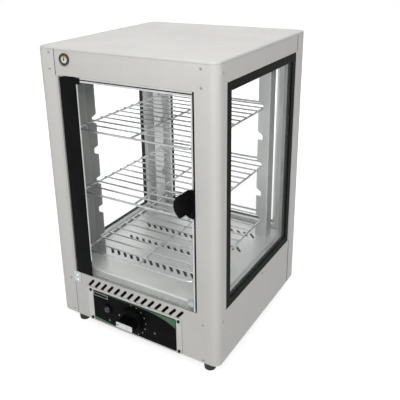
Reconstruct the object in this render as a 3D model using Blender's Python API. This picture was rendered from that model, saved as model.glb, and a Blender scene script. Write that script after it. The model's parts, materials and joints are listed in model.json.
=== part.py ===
"""Heated display case: a free-standing glazed cabinet with three wire racks.

The case stands on four feet.  X runs to the right seen from the front, Y runs
from the front to the rear, Z is up.  The world origin is under the middle of
the bounding box, on the surface the feet stand on.  All sizes are in metres.
"""
import math

import bmesh
import bpy
from mathutils import Vector

# Overall case, measured over the outer sheets and without feet and knob.
CASE_W = 0.350
CASE_D = 0.347
CASE_H = 0.523
CORNER_R = 0.014
SHEET = 0.0012
GAP = 0.0003
OVERRUN = 0.002
ARC_STEPS = 6
FOLD_STEPS = 2
ROUND_SIDES = 24
SMALL_SIDES = 16
GRIP_SIDES = 40

# Outer sheets: one wraps the front and the right, the other the left and rear.
STRIP_W = 0.0394
SEAM = 0.0006
ROOF_RIM = 0.0042
ROOF_EDGE_R = 0.0028

# Door opening in the front sheet.
OPENING_LEFT = 0.0435
OPENING_RIGHT = 0.040
OPENING_Z = 0.0957
OPENING_DROP = 0.0465

# Double wall: the inner liner stands this far inside the outer face.
WALL = 0.0150
LINER_Z = 0.0600
CEILING_DROP = 0.0360
CEILING_FLANGE = 0.0078
CEILING_SETBACK = 0.0075

# Side and rear windows, as the outer outline of their black gaskets.
WINDOW_Z = 0.1001
WINDOW_DROP = 0.0347
SIDE_WINDOW_FRONT = 0.0284
SIDE_WINDOW_REAR = 0.0452
REAR_WINDOW_SIDE = 0.0370
WINDOW_R = 0.0015
GASKET_W = 0.0150
GASKET_REVEAL = 0.0062
GASKET_LIP = 0.0027
GASKET_LIP_DEPTH = 0.0009
GASKET_BITE = 0.0060
GASKET_KEEPER = 0.0018
GASKET_EDGE = 0.0006
WINDOW_GLASS_T = 0.0040
WINDOW_RECESS = 0.0030

# Deck: the slotted floor of the chamber, bent down on all four sides.
DECK_TOP = 0.1060
DECK_SIDE = 0.0058
DECK_FRONT = 0.0135
DECK_BEND_R = 0.0032
DECK_CORNER_R = 0.0040
DECK_LIP = 0.0210
SLOT_ROWS = 4
SLOTS_PER_ROW = 15
SLOT_LEN = 0.0196
SLOT_W = 0.0035
SLOT_SIDE = 0.0452
SLOT_FRONT = 0.0692
SLOT_REAR = 0.0547
SLOT_ANGLE = math.radians(-45)
SLOT_ARC_STEPS = 2

# Air slots in the front sheet under the door.
AIR_SLOTS = 14
AIR_SLOT_LEN = 0.0223
AIR_SLOT_W = 0.0042
AIR_SLOT_LEFT = 0.0356
AIR_SLOT_RIGHT = 0.0346
AIR_SLOT_DROP = 0.0145
AIR_SLOT_ANGLE = math.radians(49)

# Uprights: four notched angles between the deck and the ceiling.
UPRIGHT_SHEET = 0.0015
UPRIGHT_INSET = 0.0400
UPRIGHT_PLATE = 0.0235
UPRIGHT_FLANGE = 0.0250
UPRIGHT_FROM_FRONT = 0.0675
UPRIGHT_FROM_REAR = 0.0655
UPRIGHT_BEND_R = 0.0025
NOTCHES = 5
NOTCH_BOTTOM = 0.0303
NOTCH_TOP = 0.1107
NOTCH_DEPTH = 0.0100
NOTCH_MOUTH_H = 0.0170
NOTCH_INNER_H = 0.0092

# Wire racks: a frame wire, cross wires on top of it and one middle wire.
RACK_LEVELS = (0, 2, 4)
RACK_IN_NOTCH = 0.0076
RACK_FROM_FRONT = 0.0195
RACK_REAR_CLEAR = 0.0006
RACK_CORNER_R = 0.0150
FRAME_WIRE_R = 0.0020
CROSS_WIRE_R = 0.0015
FRAME_WIRE_SIDES = 8
CROSS_WIRE_SIDES = 6
CROSS_WIRES = 12
CROSS_WIRE_END = 0.0229
WIRE_WELD = 0.0005

# Heater tray and heating element under the deck.
PAN_FLANGE = 0.0100
PAN_R = 0.0030
ELEMENT_R = 0.00325
ELEMENT_SIDE = 0.1130
ELEMENT_FROM_FRONT = 0.0685
ELEMENT_FROM_REAR = 0.0585
ELEMENT_BEND_R = 0.0200
ELEMENT_UNDER_DECK = 0.0210
ELEMENT_LEG = 0.0360
ELEMENT_LEG_R = 0.0100
BRACKET_FROM_END = 0.1095
BRACKET_T = 0.0015
BRACKET_OVER = 0.0120
BRACKET_FOOT = 0.0120

# Base tray and feet.
TRAY_LIFT = 0.0020
TRAY_FLANGE = 0.0150
FOOT_DROP = 0.0295
FOOT_R = 0.0115
FOOT_SIDE = 0.0303
FOOT_END = 0.0268
FOOT_TAPER = 0.0012
FOOT_EDGE = 0.0012

# Door: a glass pane clamped in a black stile that turns on two pins.
DOOR_PIVOT_X = 0.0495
DOOR_PIVOT_Y = 0.0030
STILE_T = 0.0080
STILE_W = 0.0345
STILE_SLOT_FROM_PIVOT = 0.0045
STILE_HEAD_W = 0.0080
STILE_HEAD_H = 0.0100
DOOR_GLASS_T = 0.0050
DOOR_EDGE_GAP = 0.0058
DOOR_TOP_GAP = 0.0075
DOOR_GLASS_R = 0.0020
TRIM_W = 0.0020
TRIM_T = 0.0010
TRIM_BOTTOM = 0.0330
TRIM_TOP = 0.0085
HINGE_PIN_R = 0.0020
HINGE_PIN_LEN = 0.0090
HINGE_T = 0.0012
HINGE_PLATE_W = 0.0160
HINGE_PLATE_H = 0.0210
HINGE_PLATE_SIDE = 0.0105
HINGE_TAB_IN = 0.0060
HINGE_R = 0.0020

# Door handle: a spool cut off flat along the free edge of the pane.
HANDLE_ABOVE_MIDDLE = 0.0124
HANDLE_PAST_EDGE = 0.0030
HANDLE_FLAT = 0.0016
HANDLE_BASE_R = 0.0240
HANDLE_WAIST_R = 0.0170
HANDLE_GRIP_R = 0.0224
HANDLE_BASE_T = 0.0040
HANDLE_WAIST_Z = 0.0125
HANDLE_GRIP_Z = 0.0205
HANDLE_H = 0.0260
HANDLE_EDGE = 0.0015
STUD_R = 0.0035
STUD_INSET = 0.0160
BACK_PLATE_R = 0.0110
BACK_PLATE_T = 0.0040
BACK_PLATE_EDGE = 0.0010

# Magnet catch on the deck and its strike plate on the pane.
CATCH_W = 0.0120
CATCH_H = 0.0120
CATCH_FROM_EDGE = 0.0045
CATCH_UNDER_DECK = 0.0010
STRIKE_T = 0.0010
CATCH_BEVEL = 0.0006

# Door seal: a black strip behind the top and the free edge of the pane.
SEAL_T = 0.0026
SEAL_LIP = 0.0082
SEAL_BASE = 0.0060
SEAL_STEP = 0.0005
SEAL_CLEARANCE = 0.0015
SEAL_END = 0.0020

# Control plate, printed film, knob, lamp.
PLATE_LEFT = 0.0710
PLATE_RIGHT = 0.0706
PLATE_H = 0.0740
PLATE_R = 0.0050
PLATE_T = 0.0015
FILM_LEFT = 0.0125
FILM_RIGHT = 0.0110
FILM_BOTTOM = 0.0040
FILM_TOP = 0.0045
FILM_R = 0.0020
FILM_T = 0.0004
KNOB_X = -0.0012
KNOB_Z = 0.0354
KNOB_R = 0.0245
KNOB_FRONT_R = 0.0228
KNOB_SKIRT = 0.0085
KNOB_STANDOFF = 0.0009
KNOB_REACH = 0.0280
KNOB_EDGE = 0.0012
GRIP_L = 0.0363
GRIP_T = 0.0118
GRIP_R = 0.0022
GRIP_FACE_T = 0.0010
GRIP_FACE_EDGE = 0.0004
POINTER_L = 0.0060
POINTER_W = 0.0022
SHAFT_R = 0.0030
SHAFT_IN_KNOB = 0.0150
SHAFT_IN_BODY = 0.0100
BUSHING_R = 0.0050
STAT_W = 0.0400
STAT_H = 0.0340
STAT_D = 0.0280
STAT_EDGE = 0.0015
LAMP_LEFT_OF_KNOB = 0.0568
LAMP_Z = 0.0375
LAMP_R = 0.0100
LAMP_BARREL_R = 0.0075
LAMP_BARREL_D = 0.0160
LAMP_RIM = 0.0022
LAMP_LENS_R = 0.0058
LAMP_LENS_SEAT = 0.0060
LAMP_DOME = 0.0030

# Round thermometer in the top left of the front.
GAUGE_FROM_LEFT = 0.0630
GAUGE_DROP = 0.0185
GAUGE_R = 0.0112
GAUGE_PROUD = 0.0055
GAUGE_BARREL_R = 0.0090
GAUGE_BARREL_D = 0.0120
GAUGE_BORE_R = 0.0094
GAUGE_FLOOR = 0.0010
GAUGE_STEP = 0.0005
GAUGE_STEP_Z = 0.0031
GAUGE_EDGE = 0.0012
DIAL_T = 0.0006
NEEDLE_L = 0.0070
NEEDLE_TAIL = 0.0024
NEEDLE_W = 0.0009
NEEDLE_T = 0.0006
NEEDLE_HUB_R = 0.0014
NEEDLE_PIN_R = 0.0006
NEEDLE_PIN_D = 0.0026
GAUGE_LENS_T = 0.0010

# Cable gland in the rear sheet and terminal block on the base tray.
GLAND_SIDE = 0.0650
GLAND_Z = 0.0350
GLAND_THREAD_R = 0.0080
GLAND_HEX_R = 0.0120
GLAND_HEX_T = 0.0050
GLAND_CAP_R = 0.0100
GLAND_REACH = 0.0170
GLAND_INSIDE = 0.0100
GLAND_BORE_R = 0.0045
GLAND_EDGE = 0.0010
BLOCK_SIDE = 0.1150
BLOCK_FROM_REAR = 0.0585
BLOCK_W = 0.0420
BLOCK_D = 0.0200
BLOCK_H = 0.0160
BLOCK_POLES = 3
BLOCK_BORE_R = 0.0030
BLOCK_STEP = 0.0050

# Planes that several pieces share, all in the frame of the case body.
HALF_W = CASE_W / 2
HALF_D = CASE_D / 2
FRONT = -HALF_D
FRONT_IN = FRONT + SHEET
LINER_X = HALF_W - WALL
LINER_REAR = HALF_D - WALL
LINER_IN_X = LINER_X - SHEET
LINER_IN_REAR = LINER_REAR - SHEET
SHELL_TOP = CASE_H - ROOF_RIM - GAP
PAN_FLOOR = LINER_Z + SHEET
DECK_FRONT_Y = FRONT + DECK_FRONT
DECK_REAR_Y = LINER_IN_REAR - GAP - SHEET - GAP
OPENING_X0 = -HALF_W + OPENING_LEFT
OPENING_X1 = HALF_W - OPENING_RIGHT
OPENING_TOP = CASE_H - OPENING_DROP
CEILING_Z = CASE_H - CEILING_DROP
WINDOW_H = CASE_H - WINDOW_DROP - WINDOW_Z
SIDE_WINDOW_W = CASE_D - SIDE_WINDOW_FRONT - SIDE_WINDOW_REAR
SIDE_WINDOW_Y = (SIDE_WINDOW_FRONT - SIDE_WINDOW_REAR) / 2
REAR_WINDOW_W = CASE_W - 2 * REAR_WINDOW_SIDE
DECK_W = 2 * (LINER_IN_X - DECK_SIDE)
SLOT_PITCH = (DECK_W - 2 * SLOT_SIDE) / (SLOTS_PER_ROW - 1)
SLOT_FIRST_Y = DECK_FRONT_Y + SLOT_FRONT
SLOT_ROW_PITCH = (DECK_REAR_Y - SLOT_REAR - SLOT_FIRST_Y) / (SLOT_ROWS - 1)
AIR_SLOT_FIRST = OPENING_X0 + AIR_SLOT_LEFT
AIR_SLOT_PITCH = (OPENING_X1 - AIR_SLOT_RIGHT - AIR_SLOT_FIRST) / (AIR_SLOTS - 1)
AIR_SLOT_Z = OPENING_Z - AIR_SLOT_DROP
UPRIGHT_X = HALF_W - UPRIGHT_INSET
UPRIGHT_FRONT_Y = HALF_D - UPRIGHT_FROM_FRONT
UPRIGHT_REAR_Y = HALF_D - UPRIGHT_FROM_REAR
NOTCH_FIRST_Z = DECK_TOP + NOTCH_BOTTOM
NOTCH_PITCH = (CEILING_Z - NOTCH_TOP - NOTCH_FIRST_Z) / (NOTCHES - 1)
RACK_HALF_W = UPRIGHT_X - UPRIGHT_PLATE + RACK_IN_NOTCH
RACK_FRONT_Y = HALF_D - RACK_FROM_FRONT
ELEMENT_HALF_W = HALF_W - ELEMENT_SIDE
ELEMENT_FRONT_Y = HALF_D - ELEMENT_FROM_FRONT
ELEMENT_REAR_Y = HALF_D - ELEMENT_FROM_REAR
ELEMENT_Z = DECK_TOP - ELEMENT_UNDER_DECK
BRACKET_Y = HALF_D - BRACKET_FROM_END
FOOT_X = HALF_W - FOOT_SIDE
FOOT_Y = HALF_D - FOOT_END
HANDLE_Z = (OPENING_Z + OPENING_TOP) / 2 + HANDLE_ABOVE_MIDDLE
CATCH_Z = DECK_TOP - CATCH_UNDER_DECK
PLATE_W = CASE_W - PLATE_LEFT - PLATE_RIGHT
PLATE_X = (PLATE_LEFT - PLATE_RIGHT) / 2
FILM_W = PLATE_W - FILM_LEFT - FILM_RIGHT
FILM_X = PLATE_X + (FILM_LEFT - FILM_RIGHT) / 2
FILM_H = PLATE_H - FILM_BOTTOM - FILM_TOP
FILM_Z = FILM_BOTTOM
LAMP_X = KNOB_X - LAMP_LEFT_OF_KNOB
GAUGE_X = GAUGE_FROM_LEFT - HALF_W
GAUGE_Z = CASE_H - GAUGE_DROP
GLAND_X = HALF_W - GLAND_SIDE
BLOCK_X = HALF_W - BLOCK_SIDE
BLOCK_Y = HALF_D - BLOCK_FROM_REAR
PIVOT_X = -HALF_W + DOOR_PIVOT_X
PIVOT_Y = FRONT + DOOR_PIVOT_Y
STILE_Z = OPENING_Z + HINGE_T + GAP + GAP
STILE_TOP = OPENING_TOP - HINGE_T - GAP - GAP
DOOR_EDGE_X = OPENING_X1 - DOOR_EDGE_GAP
PANE_FRONT_Y = PIVOT_Y - DOOR_GLASS_T / 2
PANE_BACK_Y = PIVOT_Y + DOOR_GLASS_T / 2
PLATE_BACK = GAP
FILM_BACK = PLATE_BACK + PLATE_T + GAP
FILM_FRONT = FILM_BACK + FILM_T
BODY_Y = (KNOB_REACH - GLAND_REACH) / 2

FACE_FRONT = (math.pi / 2, 0, 0)
FACE_RIGHT = (math.pi / 2, 0, math.pi / 2)
FACE_LEFT = (math.pi / 2, 0, -math.pi / 2)
FACE_REAR = (math.pi / 2, 0, math.pi)


# Scene and object helpers.

def clear_scene():
    for old in list(bpy.data.objects):
        bpy.data.objects.remove(old, do_unlink=True)


def make_material(name, colour, roughness, metallic, alpha=1.0):
    found = bpy.data.materials.new(name)
    found.use_nodes = True
    shader = found.node_tree.nodes["Principled BSDF"]
    shader.inputs["Base Color"].default_value = (*colour, 1.0)
    shader.inputs["Roughness"].default_value = roughness
    shader.inputs["Metallic"].default_value = metallic
    shader.inputs["Alpha"].default_value = alpha
    found.diffuse_color = (*colour, alpha)
    return found


def make_empty(name, location, parent=None):
    empty = bpy.data.objects.new(name, None)
    empty.location = location
    empty.parent = parent
    bpy.context.scene.collection.objects.link(empty)
    return empty


def make_object(name, mesh, location, parent, rotation=(0, 0, 0), material=None):
    obj = bpy.data.objects.new(name, mesh)
    obj.location = location
    obj.rotation_euler = rotation
    obj.parent = parent
    bpy.context.scene.collection.objects.link(obj)
    if material is not None:
        mesh.materials.append(material)
    return obj


def boolean(obj, other, operation="DIFFERENCE"):
    other.hide_render = True
    other.display_type = "WIRE"
    found = obj.modifiers.new(operation.title() + " " + other.name, "BOOLEAN")
    found.operation = operation
    found.solver = "EXACT"
    found.object = other


def soften(obj, width, segments=2):
    found = obj.modifiers.new("Edge", "BEVEL")
    found.width = width
    found.segments = segments
    found.limit_method = "ANGLE"
    found.angle_limit = math.radians(60)


def smooth(mesh, angle=math.radians(35)):
    mesh.shade_smooth()
    mesh.set_sharp_from_angle(angle=angle)


def mesh_from(bm, name, rounded=False):
    bmesh.ops.recalc_face_normals(bm, faces=bm.faces)
    mesh = bpy.data.meshes.new(name)
    bm.to_mesh(mesh)
    bm.free()
    if rounded:
        smooth(mesh)
    return mesh


# Outlines, as lists of points in the plane.

def arc_points(centre, radius, start, end, steps):
    turn = (end - start) / steps
    return [
        (
            centre[0] + radius * math.cos(start + turn * i),
            centre[1] + radius * math.sin(start + turn * i),
        )
        for i in range(steps + 1)
    ]


def rounded_rectangle(width, height, radius, steps=ARC_STEPS, centre=(0, 0)):
    x = width / 2 - radius
    y = height / 2 - radius
    points = []
    for quarter, (sx, sy) in enumerate(((1, 1), (-1, 1), (-1, -1), (1, -1))):
        start = quarter * math.pi / 2
        middle = (centre[0] + sx * x, centre[1] + sy * y)
        points += arc_points(middle, radius, start, start + math.pi / 2, steps)
    return points


def stadium(length, width, steps, angle=0.0, centre=(0, 0)):
    half = (length - width) / 2
    right = arc_points((half, 0), width / 2, -math.pi / 2, math.pi / 2, steps)
    left = arc_points((-half, 0), width / 2, math.pi / 2, 3 * math.pi / 2, steps)
    cos, sin = math.cos(angle), math.sin(angle)
    return [
        (centre[0] + x * cos - y * sin, centre[1] + x * sin + y * cos)
        for x, y in right + left
    ]


def circle(radius, sides=ROUND_SIDES, centre=(0, 0)):
    return arc_points(centre, radius, 0, 2 * math.pi, sides)[:-1]


def filleted(path, radii, steps):
    """An open path with an arc of its own radius at each inner corner."""
    points = [Vector(path[0])]
    for before, corner, after, radius in zip(path, path[1:], path[2:], radii):
        corner = Vector(corner)
        back = (Vector(before) - corner).normalized()
        ahead = (Vector(after) - corner).normalized()
        half = back.angle(ahead) / 2
        centre = corner + (back + ahead).normalized() * (radius / math.sin(half))
        start = corner + back * (radius / math.tan(half)) - centre
        end = corner + ahead * (radius / math.tan(half)) - centre
        sweep = start.angle(end)
        for i in range(steps + 1):
            share = i / steps
            first = math.sin((1 - share) * sweep) / math.sin(sweep)
            second = math.sin(share * sweep) / math.sin(sweep)
            points.append(centre + start * first + end * second)
    points.append(Vector(path[-1]))
    return points


# Solids built from outlines.

def prism(outlines, bottom, top, name="prism", rounded=False):
    """Each outline is drawn as a face at the bottom and extruded to the top."""
    bm = bmesh.new()
    for outline in outlines:
        face = bm.faces.new([bm.verts.new((x, y, bottom)) for x, y in outline])
        grown = bmesh.ops.extrude_face_region(bm, geom=[face])
        moved = [v for v in grown["geom"] if isinstance(v, bmesh.types.BMVert)]
        bmesh.ops.translate(bm, vec=(0, 0, top - bottom), verts=moved)
    return mesh_from(bm, name, rounded)


def box(width, depth, height, name="box", centre=(0, 0)):
    """A box that stands on the plane z = 0."""
    x, y = centre
    outline = [
        (x - width / 2, y - depth / 2),
        (x + width / 2, y - depth / 2),
        (x + width / 2, y + depth / 2),
        (x - width / 2, y + depth / 2),
    ]
    return prism([outline], 0, height, name)


def skin(loops, closed=False, name="skin", rounded=False):
    """Loops with as many points each, joined in order, then capped or closed."""
    bm = bmesh.new()
    rings = [[bm.verts.new(point) for point in loop] for loop in loops]
    pairs = list(zip(rings, rings[1:]))
    if closed:
        pairs.append((rings[-1], rings[0]))
    count = len(rings[0])
    for first, second in pairs:
        for i in range(count):
            j = (i + 1) % count
            bm.faces.new((first[i], first[j], second[j], second[i]))
    if not closed:
        bm.faces.new(rings[0])
        bm.faces.new(rings[-1])
    return mesh_from(bm, name, rounded)


def rectangle_loop(width, height, radius, inset, z, centre=(0, 0), steps=FOLD_STEPS):
    """A rounded rectangle drawn in by the inset, at the height z."""
    outline = rounded_rectangle(
        width - 2 * inset, height - 2 * inset, max(radius - inset, SHEET / 4),
        steps, centre)
    return [(x, y, z) for x, y in outline]


def tray(width, depth, height, radius, sheet, bend=0.0, centre=(0, 0), name="tray"):
    """A sheet tray that opens upwards, or downwards when its height is negative."""
    side = math.copysign(1, height)
    steps = []
    if bend:
        for i in range(ARC_STEPS // 2 + 1):
            angle = math.pi / 2 * i / (ARC_STEPS // 2)
            steps.append((bend * (1 - math.sin(angle)), bend * (1 - math.cos(angle))))
    else:
        steps.append((0, 0))
    outer = [
        rectangle_loop(width, depth, radius, inset, side * rise, centre)
        for inset, rise in steps
    ]
    rim = [
        rectangle_loop(width, depth, radius, 0, height, centre),
        rectangle_loop(width, depth, radius, sheet, height, centre),
    ]
    floor = [rectangle_loop(width, depth, radius, sheet, side * sheet, centre)]
    if bend:
        floor = [
            rectangle_loop(width, depth, radius, sheet, side * bend, centre),
            rectangle_loop(width, depth, radius, bend, side * sheet, centre),
        ]
    return skin(outer + rim + floor, name=name, rounded=bool(bend))


def turned(profile, name="turned", sides=ROUND_SIDES, closed=False):
    """A profile of (radius, height) points spun round the Z axis."""
    bm = bmesh.new()
    verts = [bm.verts.new((radius, 0, height)) for radius, height in profile]
    ends = verts[1:] + (verts[:1] if closed else [])
    edges = [bm.edges.new(pair) for pair in zip(verts, ends)]
    bmesh.ops.spin(
        bm, geom=verts + edges, cent=(0, 0, 0), axis=(0, 0, 1),
        angle=2 * math.pi, steps=sides, use_merge=True)
    bmesh.ops.remove_doubles(bm, verts=bm.verts, dist=GAP / 100)
    return mesh_from(bm, name, rounded=True)


def edge_rounding(radius, top, edge, steps=3):
    """Profile points that turn over the outer edge of a round top."""
    return [
        (radius - edge + x, top - edge + z)
        for x, z in arc_points((0, 0), edge, 0, math.pi / 2, steps)
    ]


def rod(radius, length, sides, along, centre=(0, 0, 0)):
    """The two end loops of a straight wire along X or Y, with flats top and bottom."""
    ring = [
        (radius * math.cos(turn), radius * math.sin(turn))
        for turn in (math.pi * (2 * i + 1) / sides + math.pi / 2 for i in range(sides))
    ]
    loops = []
    for end in (-length / 2, length / 2):
        if along == "X":
            loops.append([(centre[0] + end, centre[1] + a, centre[2] + b) for a, b in ring])
        else:
            loops.append([(centre[0] + a, centre[1] + end, centre[2] + b) for a, b in ring])
    return loops


def helper(name, mesh, parent, location=(0, 0, 0), rotation=(0, 0, 0)):
    """A cutter or a shape to be joined, which isn't part of the object itself."""
    obj = make_object(name, mesh, location, parent, rotation)
    obj.hide_render = True
    obj.display_type = "WIRE"
    return obj


# Cabinet.

def wrapped_sheet(path, radii, inward, z, top, name):
    """A sheet bent along the outer path, with its thickness on the inner side."""
    outer = filleted([(x, y, 0) for x, y in path], radii, ARC_STEPS)
    inner = filleted(
        [(x, y, 0) for x, y in inward], [r - SHEET for r in radii], ARC_STEPS)
    outline = [(p.x, p.y) for p in outer] + [(p.x, p.y) for p in reversed(inner)]
    return prism([outline], z, top, name, rounded=True)


def window_cutters(root, inner):
    """Cutters for the gasket outlines in the sheets, or the smaller ones in the liner."""
    shrink = (GASKET_REVEAL - GASKET_LIP) if inner else -GAP
    reach = WALL + OVERRUN
    cutters = []
    z = WINDOW_Z + WINDOW_H / 2
    for name, width, place, turn in (
        ("right", SIDE_WINDOW_W, (HALF_W, SIDE_WINDOW_Y, z), FACE_RIGHT),
        ("left", SIDE_WINDOW_W, (-HALF_W, SIDE_WINDOW_Y, z), FACE_LEFT),
        ("rear", REAR_WINDOW_W, (0, HALF_D, z), FACE_REAR),
    ):
        loop = rectangle_loop(width, WINDOW_H, WINDOW_R, shrink, 0)
        outline = [(x, y) for x, y, _ in loop]
        mesh = prism([outline], -reach, OVERRUN)
        kind = "liner" if inner else "sheet"
        cutters.append(helper(f"cut_{kind}_window_{name}", mesh, root, place, turn))
    return cutters


def cut_through(root, obj, name, outlines, y, depth):
    """Cuts outlines drawn on a plane that faces the front."""
    mesh = prism(outlines, -depth / 2, depth / 2)
    boolean(obj, helper(name, mesh, root, (0, y, 0), FACE_FRONT))


def build_shells(root, coat):
    x1 = -HALF_W + STRIP_W
    y1 = HALF_D - STRIP_W
    path = [(x1 + SEAM / 2, -HALF_D), (HALF_W, -HALF_D), (HALF_W, y1 - SEAM / 2)]
    inward = [
        (x1 + SEAM / 2, FRONT_IN), (HALF_W - SHEET, FRONT_IN),
        (HALF_W - SHEET, y1 - SEAM / 2)]
    mesh = wrapped_sheet(path, [CORNER_R], inward, 0, SHELL_TOP, "front_right_shell")
    front = make_object("front_right_shell", mesh, (0, 0, 0), root, material=coat)
    path = [
        (x1 - SEAM / 2, -HALF_D), (-HALF_W, -HALF_D), (-HALF_W, HALF_D),
        (HALF_W, HALF_D), (HALF_W, y1 + SEAM / 2)]
    inner = HALF_D - SHEET
    inward = [
        (x1 - SEAM / 2, -inner), (SHEET - HALF_W, -inner), (SHEET - HALF_W, inner),
        (HALF_W - SHEET, inner), (HALF_W - SHEET, y1 + SEAM / 2)]
    mesh = wrapped_sheet(path, [CORNER_R] * 3, inward, 0, SHELL_TOP, "rear_left_shell")
    rear = make_object("rear_left_shell", mesh, (0, 0, 0), root, material=coat)
    right_cut, left_cut, rear_cut = window_cutters(root, inner=False)
    boolean(front, right_cut)
    boolean(rear, left_cut)
    boolean(rear, rear_cut)
    door = [
        (OPENING_X0, OPENING_Z), (OPENING_X1, OPENING_Z),
        (OPENING_X1, OPENING_TOP), (OPENING_X0, OPENING_TOP)]
    depth = OVERRUN * 4
    cut_through(root, front, "cut_door_opening", [door], -HALF_D, depth)
    slots = [
        stadium(AIR_SLOT_LEN, AIR_SLOT_W, SLOT_ARC_STEPS, AIR_SLOT_ANGLE,
                (AIR_SLOT_FIRST + AIR_SLOT_PITCH * i, AIR_SLOT_Z))
        for i in range(AIR_SLOTS)
    ]
    cut_through(root, front, "cut_air_slots", slots, -HALF_D, depth)
    holes = [
        circle(BUSHING_R + GAP, centre=(KNOB_X, KNOB_Z)),
        circle(LAMP_BARREL_R + GAP, centre=(LAMP_X, LAMP_Z)),
    ]
    cut_through(root, front, "cut_control_holes", holes, -HALF_D, depth)
    gauge = [circle(GAUGE_BARREL_R + GAP, centre=(GAUGE_X, GAUGE_Z))]
    cut_through(root, front, "cut_gauge_hole", gauge, -HALF_D, depth)
    gland = [circle(GLAND_THREAD_R + GAP, centre=(GLAND_X, GLAND_Z))]
    cut_through(root, rear, "cut_gland_hole", gland, HALF_D, depth)


def build_roof(root, coat):
    width, depth, radius = CASE_W, CASE_D, CORNER_R
    steps = [
        (ROOF_EDGE_R * (1 - math.sin(a)), ROOF_EDGE_R * (1 - math.cos(a)))
        for a in (math.pi / 2 * i / (ARC_STEPS // 2) for i in range(ARC_STEPS // 2 + 1))
    ]
    steps += [
        (0, ROOF_RIM), (SHEET, ROOF_RIM), (SHEET, ROOF_EDGE_R), (ROOF_EDGE_R, SHEET)]
    loops = [
        rectangle_loop(width, depth, radius, inset, -drop, steps=ARC_STEPS)
        for inset, drop in steps
    ]
    mesh = skin(loops, name="roof_cap", rounded=True)
    make_object("roof_cap", mesh, (0, 0, CASE_H), root, material=coat)


def build_liner(root, steel):
    """The inner box: both sides and the rear, from the heater tray past the ceiling."""
    front = FRONT_IN + GAP
    bend = WINDOW_R
    path = [(-LINER_X, front), (-LINER_X, LINER_REAR), (LINER_X, LINER_REAR), (LINER_X, front)]
    inward = [
        (-LINER_IN_X, front), (-LINER_IN_X, LINER_IN_REAR),
        (LINER_IN_X, LINER_IN_REAR), (LINER_IN_X, front)]
    mesh = wrapped_sheet(
        path, [bend, bend], inward, LINER_Z, CEILING_Z + CEILING_FLANGE, "chamber_liner")
    liner = make_object("chamber_liner", mesh, (0, 0, 0), root, material=steel)
    for cutter in window_cutters(root, inner=True):
        boolean(liner, cutter)


def build_ceiling(root, steel):
    front = FRONT_IN + CEILING_SETBACK
    rear = LINER_IN_REAR - GAP
    mesh = tray(
        2 * (LINER_IN_X - GAP), rear - front, CEILING_FLANGE, WINDOW_R, SHEET,
        name="ceiling_panel")
    place = (0, (front + rear) / 2, CEILING_Z)
    make_object("ceiling_panel", mesh, place, root, material=steel)


def build_deck(root, steel):
    depth = DECK_REAR_Y - DECK_FRONT_Y
    middle = (DECK_REAR_Y + DECK_FRONT_Y) / 2
    height = DECK_TOP - PAN_FLOOR - GAP
    mesh = tray(
        DECK_W, depth, -height, DECK_CORNER_R, SHEET, bend=DECK_BEND_R,
        centre=(0, middle), name="deck_plate")
    deck = make_object("deck_plate", mesh, (0, 0, DECK_TOP), root, material=steel)
    under = box(
        DECK_W - 2 * DECK_CORNER_R, 4 * DECK_CORNER_R, height - DECK_LIP + OVERRUN,
        centre=(0, DECK_FRONT_Y))
    boolean(deck, helper("cut_deck_front", under, root, (0, 0, PAN_FLOOR - OVERRUN)))
    slots = []
    for row in range(SLOT_ROWS):
        y = SLOT_FIRST_Y + SLOT_ROW_PITCH * row
        for i in range(SLOTS_PER_ROW):
            x = SLOT_PITCH * (i - (SLOTS_PER_ROW - 1) / 2)
            slots.append(stadium(SLOT_LEN, SLOT_W, SLOT_ARC_STEPS, SLOT_ANGLE, (x, y)))
    mesh = prism(slots, -SHEET - OVERRUN, OVERRUN)
    boolean(deck, helper("cut_deck_slots", mesh, root, (0, 0, DECK_TOP)))


def build_upright(root, steel, name, side, end, y):
    """An angle whose plate faces front and rear; its notches open to the middle."""
    x0 = UPRIGHT_X - UPRIGHT_PLATE
    path = [(x0, y, 0), (UPRIGHT_X, y, 0), (UPRIGHT_X, y + UPRIGHT_FLANGE, 0)]
    inner = UPRIGHT_X - UPRIGHT_SHEET
    inward = [
        (x0, y + UPRIGHT_SHEET, 0), (inner, y + UPRIGHT_SHEET, 0),
        (inner, y + UPRIGHT_FLANGE, 0)]
    outline = filleted(path, [UPRIGHT_BEND_R], ARC_STEPS // 2)
    outline += reversed(filleted(inward, [UPRIGHT_BEND_R - UPRIGHT_SHEET], ARC_STEPS // 2))
    points = [(side * p.x, end * p.y) for p in outline]
    bottom = DECK_TOP + GAP
    mesh = prism([points], bottom, CEILING_Z - GAP, name, rounded=True)
    upright = make_object(name, mesh, (0, 0, 0), root, material=steel)
    notches = []
    for level in range(NOTCHES):
        z = NOTCH_FIRST_Z + NOTCH_PITCH * level
        reach = OVERRUN * (NOTCH_MOUTH_H - NOTCH_INNER_H) / NOTCH_DEPTH
        notches.append([
            (side * (x0 - OVERRUN), z),
            (side * (x0 + NOTCH_DEPTH), z),
            (side * (x0 + NOTCH_DEPTH), z + NOTCH_INNER_H),
            (side * (x0 - OVERRUN), z + NOTCH_MOUTH_H + reach),
        ])
    depth = 4 * UPRIGHT_SHEET
    cut_through(root, upright, "cut_" + name, notches, end * y, depth)


def swept_frame(points, radius, sides, name):
    """A round wire along a closed path in the XY plane, with flats top and bottom."""
    count = len(points)
    loops = []
    for i, (x, y) in enumerate(points):
        before, after = Vector(points[i - 1]), Vector(points[(i + 1) % count])
        along = (after - before).normalized()
        normal = Vector((along.y, -along.x))
        ring = []
        for k in range(sides):
            turn = math.pi * (2 * k + 1) / sides + math.pi / 2
            out = radius * math.cos(turn)
            ring.append((x + normal.x * out, y + normal.y * out, radius * math.sin(turn)))
        loops.append(ring)
    return skin(loops, closed=True, name=name, rounded=True)


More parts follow.
